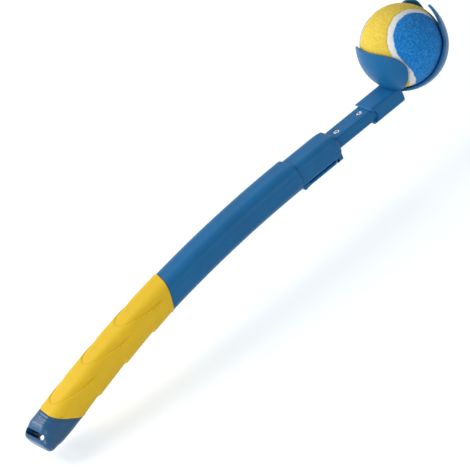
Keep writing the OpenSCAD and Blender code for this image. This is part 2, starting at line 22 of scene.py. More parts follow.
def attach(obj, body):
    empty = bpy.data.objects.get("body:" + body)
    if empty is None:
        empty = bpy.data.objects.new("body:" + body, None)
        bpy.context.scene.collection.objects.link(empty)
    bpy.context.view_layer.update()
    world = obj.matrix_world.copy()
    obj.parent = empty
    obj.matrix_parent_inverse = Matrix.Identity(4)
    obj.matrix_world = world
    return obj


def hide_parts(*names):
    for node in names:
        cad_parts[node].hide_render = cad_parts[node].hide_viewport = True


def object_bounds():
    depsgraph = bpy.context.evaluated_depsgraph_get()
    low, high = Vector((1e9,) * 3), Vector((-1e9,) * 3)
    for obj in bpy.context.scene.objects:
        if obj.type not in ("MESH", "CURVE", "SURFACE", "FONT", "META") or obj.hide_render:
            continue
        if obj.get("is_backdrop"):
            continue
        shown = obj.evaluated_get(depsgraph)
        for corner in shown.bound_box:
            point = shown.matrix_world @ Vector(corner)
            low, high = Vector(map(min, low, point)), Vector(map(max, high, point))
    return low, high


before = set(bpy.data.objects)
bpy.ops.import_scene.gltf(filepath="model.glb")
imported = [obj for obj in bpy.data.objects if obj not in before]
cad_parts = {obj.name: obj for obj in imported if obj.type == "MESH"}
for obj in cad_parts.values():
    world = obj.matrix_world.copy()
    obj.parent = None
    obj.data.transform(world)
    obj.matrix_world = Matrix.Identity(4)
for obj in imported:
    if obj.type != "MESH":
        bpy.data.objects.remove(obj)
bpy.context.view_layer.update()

LOG = logging.getLogger("ball_launcher")
MM = 0.001
Array = np.ndarray
Piece = bpy.types.Object
Pair = tuple[float, float]
Triple = tuple[float, float, float]
Colour = Triple
Face = tuple[int, ...]


class Body(Enum):
    """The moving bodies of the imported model."""

    HANDLE = "handle"
    LEVER = "lever"
    ARM = "arm"
    BUTTON = "button"
    BALL = "ball"


class Cut(Enum):
    """How a tool shape acts on a piece."""

    TAKE = "DIFFERENCE"
    JOIN = "UNION"


def ease(low: float, high: float, value: Array | float) -> Array:
    """Grades values smoothly from 0 to 1 between two limits."""
    t = np.clip((np.asarray(value, float) - low) / (high - low), 0.0, 1.0)
    return t * t * (3.0 - 2.0 * t)


def fillet(radius: float, steps: int = 5) -> list[Pair]:
    """The rounding of an end: pairs of the section's inset and the distance from the end face."""
    turns = np.linspace(0.0, math.pi / 2, steps + 1)
    return [(radius * (1 - math.sin(a)), radius * (1 - math.cos(a))) for a in turns]


def columns(*parts: Array | float) -> Array:
    """Rows made of columns, where a single number fills its column."""
    return np.stack(np.broadcast_arrays(*parts), axis=-1)


def unit(rows: Array) -> Array:
    """Rows brought to length 1."""
    return rows / np.linalg.norm(rows, axis=1, keepdims=True)


def arc(middle: Sequence[float], radius: float, start: float, end: float, count: int) -> Array:
    """Points of a flat arc about a middle, between two angles in degrees."""
    turn = np.radians(np.linspace(start, end, count))
    return columns(middle[0] + radius * np.cos(turn), middle[1] + radius * np.sin(turn))


def oblong(half_a: float, half_b: float) -> Array:
    """The corners of a flat oblong about the origin."""
    return np.array([[-1, -1], [1, -1], [1, 1], [-1, 1]]) * (half_a, half_b)


def area(flat: Array) -> float:
    """Signed area inside a closed flat outline."""
    ahead = np.roll(flat, -1, axis=0)
    return float(np.sum(flat[:, 0] * ahead[:, 1] - flat[:, 1] * ahead[:, 0])) / 2


def pitched(rows: Array, angle: float) -> Array:
    """Points turned about Y by an angle in radians, with +X towards +Z."""
    c, s = math.cos(angle), math.sin(angle)
    return columns(c * rows[:, 0] - s * rows[:, 2], rows[:, 1], s * rows[:, 0] + c * rows[:, 2])


def band(a: int, b: int, size: int) -> list[Face]:
    """The faces between two closed loops of equal size, given the first point of each."""
    return [(a + j, a + (j + 1) % size, b + (j + 1) % size, b + j) for j in range(size)]


def put(name: str, data: bpy.types.ID) -> Piece:
    """Makes an object and links it to the scene.

    Args:
        name: Name of the object.
        data: Its mesh, lamp or camera.

    Returns:
        The new object.
    """
    item = bpy.data.objects.new(name, data)
    bpy.context.scene.collection.objects.link(item)
    return item


def discard(item: Piece) -> None:
    """Deletes an object together with its mesh.

    Args:
        item: The object.
    """
    mesh = item.data
    bpy.data.objects.remove(item)
    bpy.data.meshes.remove(mesh)


@dataclass
class Shape:
    """Points and faces before they become an object."""

    points: Array
    faces: list[Face]

    @classmethod
    def loft(cls, loops: Sequence[Array], ring: bool = False) -> "Shape":
        """Skins loops of equal count.

        Args:
            loops: Closed loops of points, in order.
            ring: Joins the last loop to the first; otherwise both ends are capped.

        Returns:
            The skinned shape.
        """
        count, size = len(loops), len(loops[0])
        faces: list[Face] = []
        for k in range(count if ring else count - 1):
            faces += band(k * size, (k + 1) % count * size, size)
        if not ring:
            faces.append(tuple(range(size - 1, -1, -1)))
            faces.append(tuple(range((count - 1) * size, count * size)))
        return cls(np.concatenate(loops), faces)

    @classmethod
    def lathe(cls, profile: Sequence[Pair], sides: int = 48) -> "Shape":
        """Turns a profile about Z.

        Args:
            profile: Radius and height pairs, from one end of the axis to the other.
            sides: Number of steps round the axis.

        Returns:
            The turned shape.
        """
        turn = np.linspace(0, 2 * math.pi, sides, endpoint=False)
        ring = columns(np.cos(turn), np.sin(turn), 0.0)
        return cls.loft([ring * (r, r, 0) + (0, 0, z) for r, z in profile])

    @classmethod
    def slab(cls, outline: Array, depth: float, edge: float, along: int) -> "Shape":
        """Carries an outline across the stick with rounded edges.

        Args:
            outline: Points of a closed outline in the two axes that are left.
            depth: Full depth along the axis.
            edge: Radius of the rounded edges.
            along: Index of the axis that the outline is carried along.

        Returns:
            The slab, centred on its axis.
        """
        run = unit(np.roll(outline, -1, axis=0) - np.roll(outline, 1, axis=0))
        inward = columns(-run[:, 1], run[:, 0]) * math.copysign(1.0, area(outline))
        rows = [(i, depth / 2 - b) for i, b in fillet(edge, steps=4)]
        rows += [(i, -high) for i, high in reversed(rows)]
        return cls.loft([np.insert(outline + inward * i, along, high, axis=1) for i, high in rows])

    def plus(self, other: "Shape") -> "Shape":
        """Puts two shapes side by side in one mesh.

        Args:
            other: The second shape.

        Returns:
            Both shapes as one.
        """
        shift = len(self.points)
        moved = [tuple(i + shift for i in face) for face in other.faces]
        return Shape(np.concatenate([self.points, other.points]), self.faces + moved)

    def moved(self, step: Sequence[float]) -> "Shape":
        """The shape shifted by a step along X, Y and Z."""
        return Shape(self.points + np.asarray(step), self.faces)

    def turned(self, matrix: Matrix) -> "Shape":
        """The shape turned about the origin."""
        return Shape(self.points @ np.array(matrix.to_3x3()).T, self.faces)

    def mesh(self, name: str) -> bpy.types.Mesh:
        """Makes a bare mesh of the shape.

        Args:
            name: Name of the mesh.

        Returns:
            The new mesh.
        """
        mesh = bpy.data.meshes.new(name)
        mesh.from_pydata(self.points.tolist(), [], self.faces)
        return mesh

    def piece(self, name: str, smooth: float = 34.0) -> Piece:
        """Makes the object.

        Args:
            name: Name of the piece.
            smooth: Edges flatter than this angle in degrees are shaded smooth.

        Returns:
            The new object, at the origin, linked to the scene.
        """
        mesh = self.mesh(name)
        mesh.validate()
        item = put(name, mesh)
        face_out(item)
        shade(item, smooth)
        return item


def face_out(item: Piece) -> None:
    """Turns every face of a closed piece outward.

    Args:
        item: The piece.
    """
    work = bmesh.new()
    work.from_mesh(item.data)
    bmesh.ops.recalc_face_normals(work, faces=work.faces)
    work.to_mesh(item.data)
    work.free()


def shade(item: Piece, smooth: float) -> None:
    """Shades a piece smooth apart from edges past an angle in degrees."""
    item.data.shade_smooth()
    item.data.set_sharp_from_angle(angle=math.radians(smooth))


def settle(item: Piece) -> None:
    """Applies a piece's modifiers to its mesh.

    Args:
        item: The piece.
    """
    seen = item.evaluated_get(bpy.context.evaluated_depsgraph_get())
    mesh = bpy.data.meshes.new_from_object(seen)
    old = item.data
    item.modifiers.clear()
    item.data = mesh
    mesh.name = item.name
    bpy.data.meshes.remove(old)


def carve(item: Piece, tool: Shape, how: Cut, smooth: float = 34.0) -> None:
    """Cuts a tool shape out of a piece, or joins it on.

    Args:
        item: The piece.
        tool: The tool shape, closed.
        how: What the tool does.
        smooth: Shading angle of the result in degrees.
    """
    cutter = tool.piece("tool")
    step = item.modifiers.new("cut", "BOOLEAN")
    step.operation = how.value
    step.solver = "EXACT"
    step.object = cutter
    settle(item)
    discard(cutter)
    shade(item, smooth)


def soften(item: Piece, width: float, angle: float, smooth: float) -> None:
    """Rounds the sharp edges that a cut left.

    Args:
        item: The piece.
        width: Width of the rounding.
        angle: Edges sharper than this in degrees are rounded.
        smooth: Shading angle of the result in degrees.
    """
    step = item.modifiers.new("soft_edges", "BEVEL")
    step.width = width
    step.segments = 3
    step.limit_method = "ANGLE"
    step.angle_limit = math.radians(angle)
    step.use_clamp_overlap = True
    settle(item)
    shade(item, smooth)


@dataclass(frozen=True)
class Section:
    """A rounded section across the stick: width along Y, thickness along Z."""

    width: float
    thick: float
    front_r: float
    back_r: float
    corner: int = 12
    flat: int = 5
    least_r: float = 0.05 * MM

    def points(self, inset: float = 0.0) -> Array:
        """The section's outline from the front's middle, round by -Y.

        Args:
            inset: How far the outline is drawn in.

        Returns:
            Rows of Y and Z.
        """
        half_w, half_t = self.width / 2 - inset, self.thick / 2 - inset
        rows = [np.array([[0.0, half_t]])]
        for side, top, turn in ((-1, 1, 90), (-1, -1, 180), (1, -1, 270), (1, 1, 360)):
            radius = max((self.front_r if top > 0 else self.back_r) - inset, self.least_r)
            middle = side * (half_w - radius), top * (half_t - radius)
            bend = arc(middle, radius, turn, turn + 90, self.corner + 1)
            rows += [self._between(rows[-1][-1], bend[0]), bend]
        rows.append(self._between(rows[-1][-1], rows[0][0]))
        return np.concatenate(rows)

    def _between(self, start: Array, end: Array) -> Array:
        """Points inside a flat stretch, without its ends."""
        steps = np.linspace(0, 1, self.flat + 1)[1:-1, None]
        return start + (end - start) * steps

    def grown(self, step: float) -> "Section":
        """The same section with each side moved out by a step."""
        return replace(self, width=self.width + 2 * step, thick=self.thick + 2 * step,
                       front_r=self.front_r + step, back_r=self.back_r + step)


@dataclass(frozen=True)
class Slant:
    """A slanted cut across the stick: its shift ahead, and its lean to the front and to the side."""

    ahead: float = 0.0
    tilt: float = 0.0
    skew: float = 0.0

    def at(self, rows: Array) -> Array:
        """How far ahead the cut stands at rows of Y and Z."""
        return self.ahead + self.tilt * rows[:, 1] + self.skew * rows[:, 0]


SQUARE = Slant()


@dataclass(frozen=True)
class StickLine:
    """The stick's middle line: straight ahead of the collar's rear face, bent behind it."""

    bend_r: float = 0.900
    tube_len: float = 0.131
    grip_len: float = 0.121
    cap_len: float = 0.027

    @property
    def grip_rear(self) -> float:
        """Distance of the grip's rear end behind the collar."""
        return self.tube_len + self.grip_len

    @property
    def butt(self) -> float:
        """Distance of the butt end behind the collar."""
        return self.grip_rear + self.cap_len

    @property
    def start(self) -> Array:
        """The collar's rear face, seen from the middle of the hand grip."""
        turn = (self.tube_len + self.grip_len / 2) / self.bend_r
        return np.array([self.bend_r * math.sin(turn), 0.0, self.bend_r * (1 - math.cos(turn))])

    def ahead(self, x: float) -> Array:
        """The point on the line at a distance ahead of the collar's rear face."""
        return self.start + (x, 0.0, 0.0)

    def place(self, x: Array | float, y: Array | float, z: Array | float) -> Array:
        """Points beside the line.

        Args:
            x: Distance ahead of the collar's rear face, along the line.
            y: Distance to the side.
            z: Distance out to the front.

        Returns:
            Rows of points in the frame.
        """
        x, y, z = np.broadcast_arrays(*(np.asarray(v, float) for v in (x, y, z)))
        turn = np.maximum(-x, 0.0) / self.bend_r
        reach = self.bend_r + z
        along = np.maximum(x, 0.0) - reach * np.sin(turn)
        return columns(along, y, reach * np.cos(turn) - self.bend_r) + self.start

    def loop(self, rows: Array, x: float, cut: Slant = SQUARE, share: float = 1.0) -> Array:
        """A section's outline set on the line at x, following a share of a slanted cut."""
        return self.place(x + share * cut.at(rows), rows[:, 0], rows[:, 1])


def set_inputs(node: bpy.types.Node, **values: Any) -> None:
    """Sets a node's inputs by name, with _ for a space."""
    for socket, value in values.items():
        node.inputs[socket.replace("_", " ")].default_value = value


def add_node(tree: bpy.types.NodeTree, kind: str, **values: Any) -> Any:
    """Adds a shader node to a tree.

    Args:
        tree: The node tree.
        kind: Blender's name of the node, without its ShaderNode.
        values: Inputs to set by name, with _ for a space.

    Returns:
        The new node.
    """
    node = tree.nodes.new(f"ShaderNode{kind}")
    set_inputs(node, **values)
    return node


def tint(colour: Colour, factor: float) -> Colour:
    """A colour made lighter or darker by a factor."""
    red, green, blue = (min(c * factor, 1.0) for c in colour)
    return red, green, blue


class Recipe:
    """A material's nodes while they are put together."""

    def __init__(self, name: str, **sockets: Any) -> None:
        """Starts a material.

        Args:
            name: Name of the material.
            sockets: The shader's own sockets to set by name, with _ for a space.
        """
        self.material = bpy.data.materials.new(name)
        self.material.use_nodes = True
        self.tree = self.material.node_tree
        self.shader = self.tree.nodes["Principled BSDF"]
        set_inputs(self.shader, **sockets)
        self.coords = add_node(self.tree, "TexCoord").outputs["Object"]

    def noise(self, scale: float, detail: float = 2.0, stretch: Sequence[float] = (1, 1, 1)) -> Any:
        """A noise field on the piece.

        Args:
            scale: Cells per metre.
            detail: Octaves.
            stretch: Factors on X, Y and Z.

        Returns:
            The socket of the noise's value.
        """
        mapping = add_node(self.tree, "Mapping", Scale=stretch)
        self.tree.links.new(self.coords, mapping.inputs["Vector"])
        node = add_node(self.tree, "TexNoise", Scale=scale, Detail=detail)
        self.tree.links.new(mapping.outputs["Vector"], node.inputs["Vector"])
        return node.outputs["Fac"]

    def pits(self, scale: float) -> Any:
        """A field of small cells on the piece.

        Args:
            scale: Cells per metre.

        Returns:
            The socket of the distance from the nearest cell's middle.
        """
        node = add_node(self.tree, "TexVoronoi", Scale=scale)
        self.tree.links.new(self.coords, node.inputs["Vector"])
        return node.outputs["Distance"]

    def edges(self) -> Any:
        """The socket of how far a place stands out of its surroundings."""
        return add_node(self.tree, "NewGeometry").outputs["Pointiness"]

    def open_sky(self, reach: float) -> Any:
        """How little the piece itself closes a place in.

        Args:
            reach: How far round the place is looked, in metres.

        Returns:
            The socket of the open share.
        """
        node = add_node(self.tree, "AmbientOcclusion", Distance=reach)
        node.only_local = True
        return node.outputs["AO"]

    def graded(self, value: Any, low: float, high: float, start: float = 0.3, end: float = 0.7) -> Any:
        """A field spread between two numbers.

        Args:
            value: Socket of the field.
            low: Result at the start.
            high: Result at the end.
            start: Field value of the low result.
            end: Field value of the high result.

        Returns:
            The socket of the result.
        """
        node = add_node(self.tree, "MapRange", From_Min=start, From_Max=end, To_Min=low, To_Max=high)
        self.tree.links.new(value, node.inputs["Value"])
        return node.outputs["Result"]

    def ramp(self, value: Any, stops: Sequence[tuple[float, Colour]]) -> Any:
        """A field turned into colour.

        Args:
            value: Socket of the field.
            stops: Field values and their colours.

        Returns:
            The socket of the colour.
        """
        node = add_node(self.tree, "ValToRGB")
        marks = node.color_ramp.elements
        while len(marks) < len(stops):
            marks.new(1.0)
        for mark, (place, colour) in zip(marks, stops):
            mark.position = place
            mark.color = (*colour, 1.0)
        self.tree.links.new(value, node.inputs["Fac"])
        return node.outputs["Color"]

    def tints(self, value: Any, colour: Colour, stops: Sequence[Pair]) -> Any:
        """A field turned into tints of a colour, by pairs of a field value and a factor."""
        return self.ramp(value, [(place, tint(colour, factor)) for place, factor in stops])

    def mix(self, amount: Any, one: Any, two: Any) -> Any:
        """Blends two colours by a field.

        Args:
            amount: Socket of the field.
            one: Colour, or its socket, where the field is 0.
            two: Colour, or its socket, where the field is 1.

        Returns:
            The socket of the blend.
        """
        node = add_node(self.tree, "Mix")
        node.data_type = "RGBA"
        colours = [s for s in node.inputs if s.type == "RGBA"]
        self.tree.links.new(amount, node.inputs["Factor"])
        for socket, colour in zip(colours, (one, two)):
            if isinstance(colour, tuple):
                socket.default_value = (*colour, 1.0)
            else:
                self.tree.links.new(colour, socket)
        return next(s for s in node.outputs if s.type == "RGBA")

    def relief(self, *layers: tuple[Any, float]) -> None:
        """Stacks bump layers onto the shader.

        Args:
            layers: The socket of each height field and its depth in metres.
        """
        last = None
        for height, depth in layers:
            node = add_node(self.tree, "Bump", Distance=depth)
            self.tree.links.new(height, node.inputs["Height"])
            if last is not None:
                self.tree.links.new(last, node.inputs["Normal"])
            last = node.outputs["Normal"]
        self.feed("Normal", last)

    def feed(self, socket: str, value: Any) -> None:
        """Links a field to one of the shader's sockets."""
        self.tree.links.new(value, self.shader.inputs[socket])


@dataclass(frozen=True)
class MouldedPlastic:
    """Satin injection-moulded plastic with a fine spark grain and rubbed edges."""

    name: str
    colour: Colour
    rough: float = 0.36
    rough_spread: Pair = (-0.05, 0.06)
    smear_scale: float = 310.0
    grain: float = 0.05 * MM
    grain_scale: float = 2300.0
    sink: float = 0.12 * MM
    sink_scale: float = 70.0
    worn: float = 1.25
    worn_share: float = 0.55
    worn_from: Pair = (0.52, 0.62)
    shine: float = 0.2
    ior: float = 1.47
    cloud_scale: float = 42.0
    cloud: tuple[Pair, ...] = ((0.3, 0.93), (0.7, 1.06))

    def material(self) -> bpy.types.Material:
        """Puts the finish together.

        Returns:
            The material.
        """
        mix = Recipe(self.name, IOR=self.ior, Specular_IOR_Level=self.shine)
        base = mix.tints(mix.noise(self.cloud_scale, detail=4.0), self.colour, self.cloud)
        rubbed = mix.graded(mix.edges(), 0.0, self.worn_share, *self.worn_from)
        mix.feed("Base Color", mix.mix(rubbed, base, tint(self.colour, self.worn)))
        dull = (self.rough + step for step in self.rough_spread)
        mix.feed("Roughness", mix.graded(mix.noise(self.smear_scale, detail=3.0), *dull))
        mix.relief((mix.noise(self.grain_scale), self.grain),
                   (mix.noise(self.sink_scale, detail=1.0), self.sink))
        return mix.material


@dataclass(frozen=True)
class SoftGrip:
    """Soft over-moulded rubber: dull, finely pebbled, with shade painted into its hollows."""

    name: str
    colour: Colour
    # shade is the colour of the shade painted into the hollows
    shade: Colour
    painted_shade_share: float = 0.75
    painted_shade_from: Pair = (0.40, 0.50)
    rough: Pair = (0.44, 0.58)
    smear_scale: float = 420.0
    pebble: float = 0.03 * MM
    pebble_scale: float = 2600.0
    swell: float = 0.08 * MM
    swell_scale: float = 90.0
    shine: float = 0.22
    sheen: Pair = (0.03, 0.5)
    ior: float = 1.45
    cloud_scale: float = 55.0
    cloud: tuple[Pair, ...] = ((0.25, 0.95), (0.75, 1.04))

    def material(self) -> bpy.types.Material:
        """Puts the finish together.

        Returns:
            The material.
        """
        sheen, sheen_rough = self.sheen
        mix = Recipe(self.name, IOR=self.ior, Specular_IOR_Level=self.shine,
                     Sheen_Weight=sheen, Sheen_Roughness=sheen_rough)
        base = mix.tints(mix.noise(self.cloud_scale, detail=4.0), self.colour, self.cloud)
        # painted shade: low pointiness in the hollows blends the base colour towards the shade colour
        hollow = mix.graded(mix.edges(), self.painted_shade_share, 0.0, *self.painted_shade_from)
        mix.feed("Base Color", mix.mix(hollow, base, self.shade))
        mix.feed("Roughness", mix.graded(mix.noise(self.smear_scale, detail=3.0), *self.rough))
        mix.relief((mix.pits(self.pebble_scale), self.pebble), (mix.noise(self.swell_scale), self.swell))
        return mix.material


@dataclass(frozen=True)
class Felt:
    """Needled felt: matted fibres with lighter and darker flecks, and a soft sheen."""

    name: str
    colour: Colour
    light: Colour
    dark: Colour
    rough: Pair = (0.78, 0.96)
    shine: float = 0.08
    sheen: Pair = (0.1, 0.6)
    ior: float = 1.35
    strand: float = 0.35 * MM
    strand_scale: float = 820.0
    strand_lie: Triple = (1.0, 0.6, 0.8)
    flecks: Triple = (0.38, 0.5, 0.62)
    cross: float = 0.3 * MM
    cross_scale: float = 1150.0
    cross_lie: Triple = (0.55, 1.0, 1.0)
    cross_tints: tuple[Pair, ...] = ((0.38, 0.86), (0.62, 1.12))
    patch: float = 0.35 * MM
    patch_scale: float = 150.0
    patch_share: Pair = (0.25, 0.75)

    def material(self) -> bpy.types.Material:
        """Puts the finish together.

        Returns:
            The material.
        """
        sheen, sheen_rough = self.sheen
        mix = Recipe(self.name, IOR=self.ior, Specular_IOR_Level=self.shine,
                     Sheen_Weight=sheen, Sheen_Roughness=sheen_rough)
        strand = mix.noise(self.strand_scale, detail=5.0, stretch=self.strand_lie)
        cross = mix.noise(self.cross_scale, detail=5.0, stretch=self.cross_lie)
        patch = mix.noise(self.patch_scale, detail=4.0)
        base = mix.ramp(strand, list(zip(self.flecks, (self.dark, self.colour, self.light))))
        over = mix.tints(cross, self.colour, self.cross_tints)
        mix.feed("Base Color", mix.mix(mix.graded(patch, *self.patch_share), base, over))
        mix.feed("Roughness", mix.graded(cross, *self.rough))
        mix.relief((strand, self.strand), (cross, self.cross), (patch, self.patch))
        return mix.material


@dataclass(frozen=True)
class Rubber:
    """Vulcanised rubber: clouded, unevenly dull and finely gritty."""

    name: str
    colour: Colour
    cloud_scale: float
    cloud: tuple[Pair, ...]
    rough: Pair
    grit: float
    grit_scale: float
    grit_detail: float
    smear_scale: float | None = None
    ior: float = 1.5

    def material(self) -> bpy.types.Material:
        """Puts the finish together; its gloss follows the clouds where it has no smear of its own.

        Returns:
            The material.
        """
        mix = Recipe(self.name, IOR=self.ior)
        cloud = mix.noise(self.cloud_scale, detail=5.0)
        mix.feed("Base Color", mix.tints(cloud, self.colour, self.cloud))
        smear = cloud if self.smear_scale is None else mix.noise(self.smear_scale)
        mix.feed("Roughness", mix.graded(smear, *self.rough))
        mix.relief((mix.noise(self.grit_scale, self.grit_detail), self.grit))
        return mix.material


@dataclass(frozen=True)
class ZincSteel:
    """Bright zinc-plated steel with fine turning marks, a few dull patches and shade painted into its
    recesses.
    """

    name: str
    colour: Colour
    rough: Pair = (0.16, 0.38)
    smear_scale: float = 1500.0
    reach: float = 1.6 * MM
    recess_shade_from: Pair = (0.55, 0.9)
    # recess is the tint factor of the shade painted into recesses
    recess: float = 0.06
    cloud_scale: float = 700.0
    cloud: tuple[Pair, ...] = ((0.3, 0.85), (0.65, 1.0))
    marks: float = 0.015 * MM
    marks_scale: float = 5200.0
    marks_lie: Triple = (1.0, 0.15, 1.0)

    def material(self) -> bpy.types.Material:
        """Puts the finish together.

        Returns:
            The material.
        """
        mix = Recipe(self.name, Metallic=1.0)
        bright = mix.tints(mix.noise(self.cloud_scale, detail=4.0), self.colour, self.cloud)
        # painted shade: ambient occlusion darkens enclosed places towards the recess tint
        clear = mix.graded(mix.open_sky(self.reach), 0.0, 1.0, *self.recess_shade_from)
        mix.feed("Base Color", mix.mix(clear, tint(self.colour, self.recess), bright))
        mix.feed("Roughness", mix.graded(mix.noise(self.smear_scale, detail=3.0), *self.rough))
        mix.relief((mix.noise(self.marks_scale, stretch=self.marks_lie), self.marks))
        return mix.material


class Finishes(Enum):
    """The record's material slots with their finishes."""

    BLUE_PLASTIC = MouldedPlastic("blue_plastic", (0.012, 0.152, 0.37))
    NAVY_PLASTIC = MouldedPlastic("navy_plastic", (0.008, 0.094, 0.225),
                                  rough=0.26, grain=0.012 * MM, shine=0.45)
    # the second colour is the shade painted into the grip's hollows
    SOFT_GRIP = SoftGrip("soft_grip", (0.92, 0.585, 0.026), (0.55, 0.30, 0.012))
    STEEL = ZincSteel("steel", (0.82, 0.82, 0.83))
    DARK_RUBBER = Rubber("dark_rubber", (0.022, 0.023, 0.025), 260.0, ((0.3, 1.0), (0.75, 1.7)),
                         rough=(0.6, 0.85), grit=0.08 * MM, grit_scale=1600.0, grit_detail=3.0)
    BLUE_FELT = Felt("blue_felt", (0.014, 0.25, 0.70), (0.065, 0.41, 0.92), (0.007, 0.135, 0.46))
    YELLOW_FELT = Felt("yellow_felt", (0.96, 0.68, 0.082), (1.0, 0.77, 0.16), (0.86, 0.57, 0.05))
    WHITE_SEAM = Rubber("white_seam", (0.94, 0.93, 0.91), 480.0, ((0.3, 0.86), (0.6, 1.0)),
                        rough=(0.55, 0.75), grit=0.12 * MM, grit_scale=900.0, grit_detail=4.0,
                        smear_scale=600.0)


MATERIALS: dict[Finishes, bpy.types.Material] = {}


def give_finish(item: Piece, choice: Finishes) -> None:
    """Gives an object its finish, whose material is made once.

    Args:
        item: The object.
        choice: Its finish.
    """
    if choice not in MATERIALS:
        MATERIALS[choice] = choice.value.material()
    item.data.materials.clear()
    item.data.materials.append(MATERIALS[choice])


def dress(item: Piece, body: Body, choice: Finishes, *nodes: str) -> None:
    """Gives a piece its finish and its place in the model.

    Args:
        item: The piece.
        body: The body that it rides on.
        choice: Its finish, named as the record's slot.
        nodes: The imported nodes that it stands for.
    """
    give_finish(item, choice)
    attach(item, body.value)
    if nodes:
        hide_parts(*nodes)
    LOG.info("%s: %d faces on %s", item.name, len(item.data.polygons), body.value)


@dataclass
class Handle:
    """The bent tube, its soft grip and the end cap."""

    line: StickLine
    tube: Section = Section(25.5 * MM, 23 * MM, 8.5 * MM, 8.5 * MM)
    tube_wall: float = 2.2 * MM
    tube_edge: float = 0.9 * MM
    tube_rear: float = 0.6
    cut_run: float = 55 * MM
    bore_front: float = 8 * MM
    bore_rear: float = 16 * MM
    neck_from: float = 12 * MM
    neck_short: float = 1.5 * MM
    neck_bore: float = 14 * MM
    grip: Section = Section(27 * MM, 24.6 * MM, 9.5 * MM, 9.5 * MM, 26, 12)
    sleeve_wall: float = 2.4 * MM
    sleeve_square: Pair = (15 * MM, 18 * MM)
    grip_edge: float = 0.9 * MM
    grip_past: float = 0.2 * MM
    grip_smooth: float = 50.0
    seat: float = 0.12 * MM
    front_cut: Slant = Slant(-2.9 * MM, 0.33, 0.25)
    rear_cut: Slant = Slant(3.1 * MM, -0.82, 0.12)
    rows: int = 330
    hollow_count: int = 4
    hollow_tip: float = 140.5 * MM
    hollow_pitch: float = 36.3 * MM
    hollow_side: float = 63.0
    hollow_upper: float = 24 * MM
    hollow_lower: float = 37 * MM
    hollow_least: float = 0.3 * MM
    hollow_sink: float = 1.15 * MM
    hollow_front: float = 0.25
    hollow_deepen: Pair = (4.0, 44.0)
    hollow_close: float = 0.97
    hollow_wall: float = 0.8 * MM
    curve: float = 1.5
    curve_fall: float = 1.15
    curve_from: Pair = (0.3, 0.9)
    finger_from: float = 160 * MM
    finger_pitch: float = 31 * MM
    finger_sink: float = 1.1 * MM
    finger_step: float = 0.09
    finger_fade: float = 1.3
    finger_ends: Pair = (8 * MM, 12 * MM)
    finger_sides: Pair = (84.0, 128.0)
    cap_step: float = 0.3 * MM
    cap_corner: float = 4.8 * MM
    cap_slope: float = 13 * MM
    cap_rise: Pair = (-0.5, 1.0)
    cap_lift: float = 0.2593
    cap_taper: float = 20 * MM
    cap_flare: float = 1.3 * MM
    cap_short: float = 0.45 * MM
    cap_end: float = 10 * MM
    cap_edge: float = 1.3 * MM
    cap_front: float = 0.45 * MM
    cap_square: float = 9 * MM
    cap_roll: Pair = (0.92, 0.47)
    cap_smooth: float = 40.0
    groove_at: float = 2.0 * MM
    groove_sink: float = 0.28 * MM
    groove_steps: tuple[Pair, ...] = ((0.0, 0), (0.25 * MM, 1), (0.5 * MM, 1), (0.75 * MM, 0))
    groove_past: float = 1.2 * MM
    slot_w: float = 21.5 * MM
    slot_l: float = 4.6 * MM
    slot_round: float = 0.48
    slot_at: float = 7.1 * MM
    slot_lean: float = 0.28
    slot_past: float = 24 * MM
    slot_edge: float = 0.45 * MM
    slot_angle: float = 42.0
    plug_len: float = 16 * MM
    plug_edge: Pair = (0.6 * MM, 1 * MM)

    def build(self) -> None:
        """Makes and dresses the three pieces."""
        dress(self.make_tube(), Body.HANDLE, Finishes.BLUE_PLASTIC, "handle_tube")
        dress(self.make_grip(), Body.HANDLE, Finishes.SOFT_GRIP, "grip_sleeve")
        dress(self.make_cap(), Body.HANDLE, Finishes.NAVY_PLASTIC, "end_cap")

    @property
    def neck(self) -> Section:
        """The tube's section under the grip."""
        slim = self.grip.grown(-self.sleeve_wall - self.seat)
        return replace(slim, corner=self.tube.corner, flat=self.tube.flat)

    @property
    def neck_end(self) -> float:
        """Where the neck ends, behind the collar."""
        return self.line.grip_rear - float(self.rear_cut.at(self.neck.points()).max()) - self.neck_short

    def make_tube(self) -> Piece:
        """The tube: bore, rounded front edge, bent run, slanted end and the neck under the grip.

        Returns:
            The piece.
        """
        line, far, cut = self.line, self.line.tube_len, self.front_cut
        outer, bore = self.tube.points(), self.tube.grown(-self.tube_wall).points()
        neck, inside = self.neck.points(), self.neck.grown(-self.tube_wall).points()
        loops = [line.loop(bore, 0.0)]
        loops += [line.loop(self.tube.points(i), -b) for i, b in fillet(self.tube_edge)]
        for x in np.linspace(-2 * self.tube_edge, -far + 2 * self.tube_edge, num=44):
            loops.append(line.loop(outer, x, cut, float(ease(far - self.cut_run, far, -x))))
        rear = fillet(self.tube_edge * self.tube_rear)
        loops += [line.loop(self.tube.points(i), -far + b, cut) for i, b in reversed(rear)]
        loops.append(line.loop(neck, -far, cut))
        for rows, start, end in ((neck, -far - self.neck_from, -self.neck_end),
                                 (inside, -self.neck_end, -far + self.neck_bore),
                                 (bore, -far + self.bore_rear, -self.bore_front)):
            loops += [line.loop(rows, x) for x in np.linspace(start, end, num=14)]
        return Shape.loft(loops, ring=True).piece("tube")

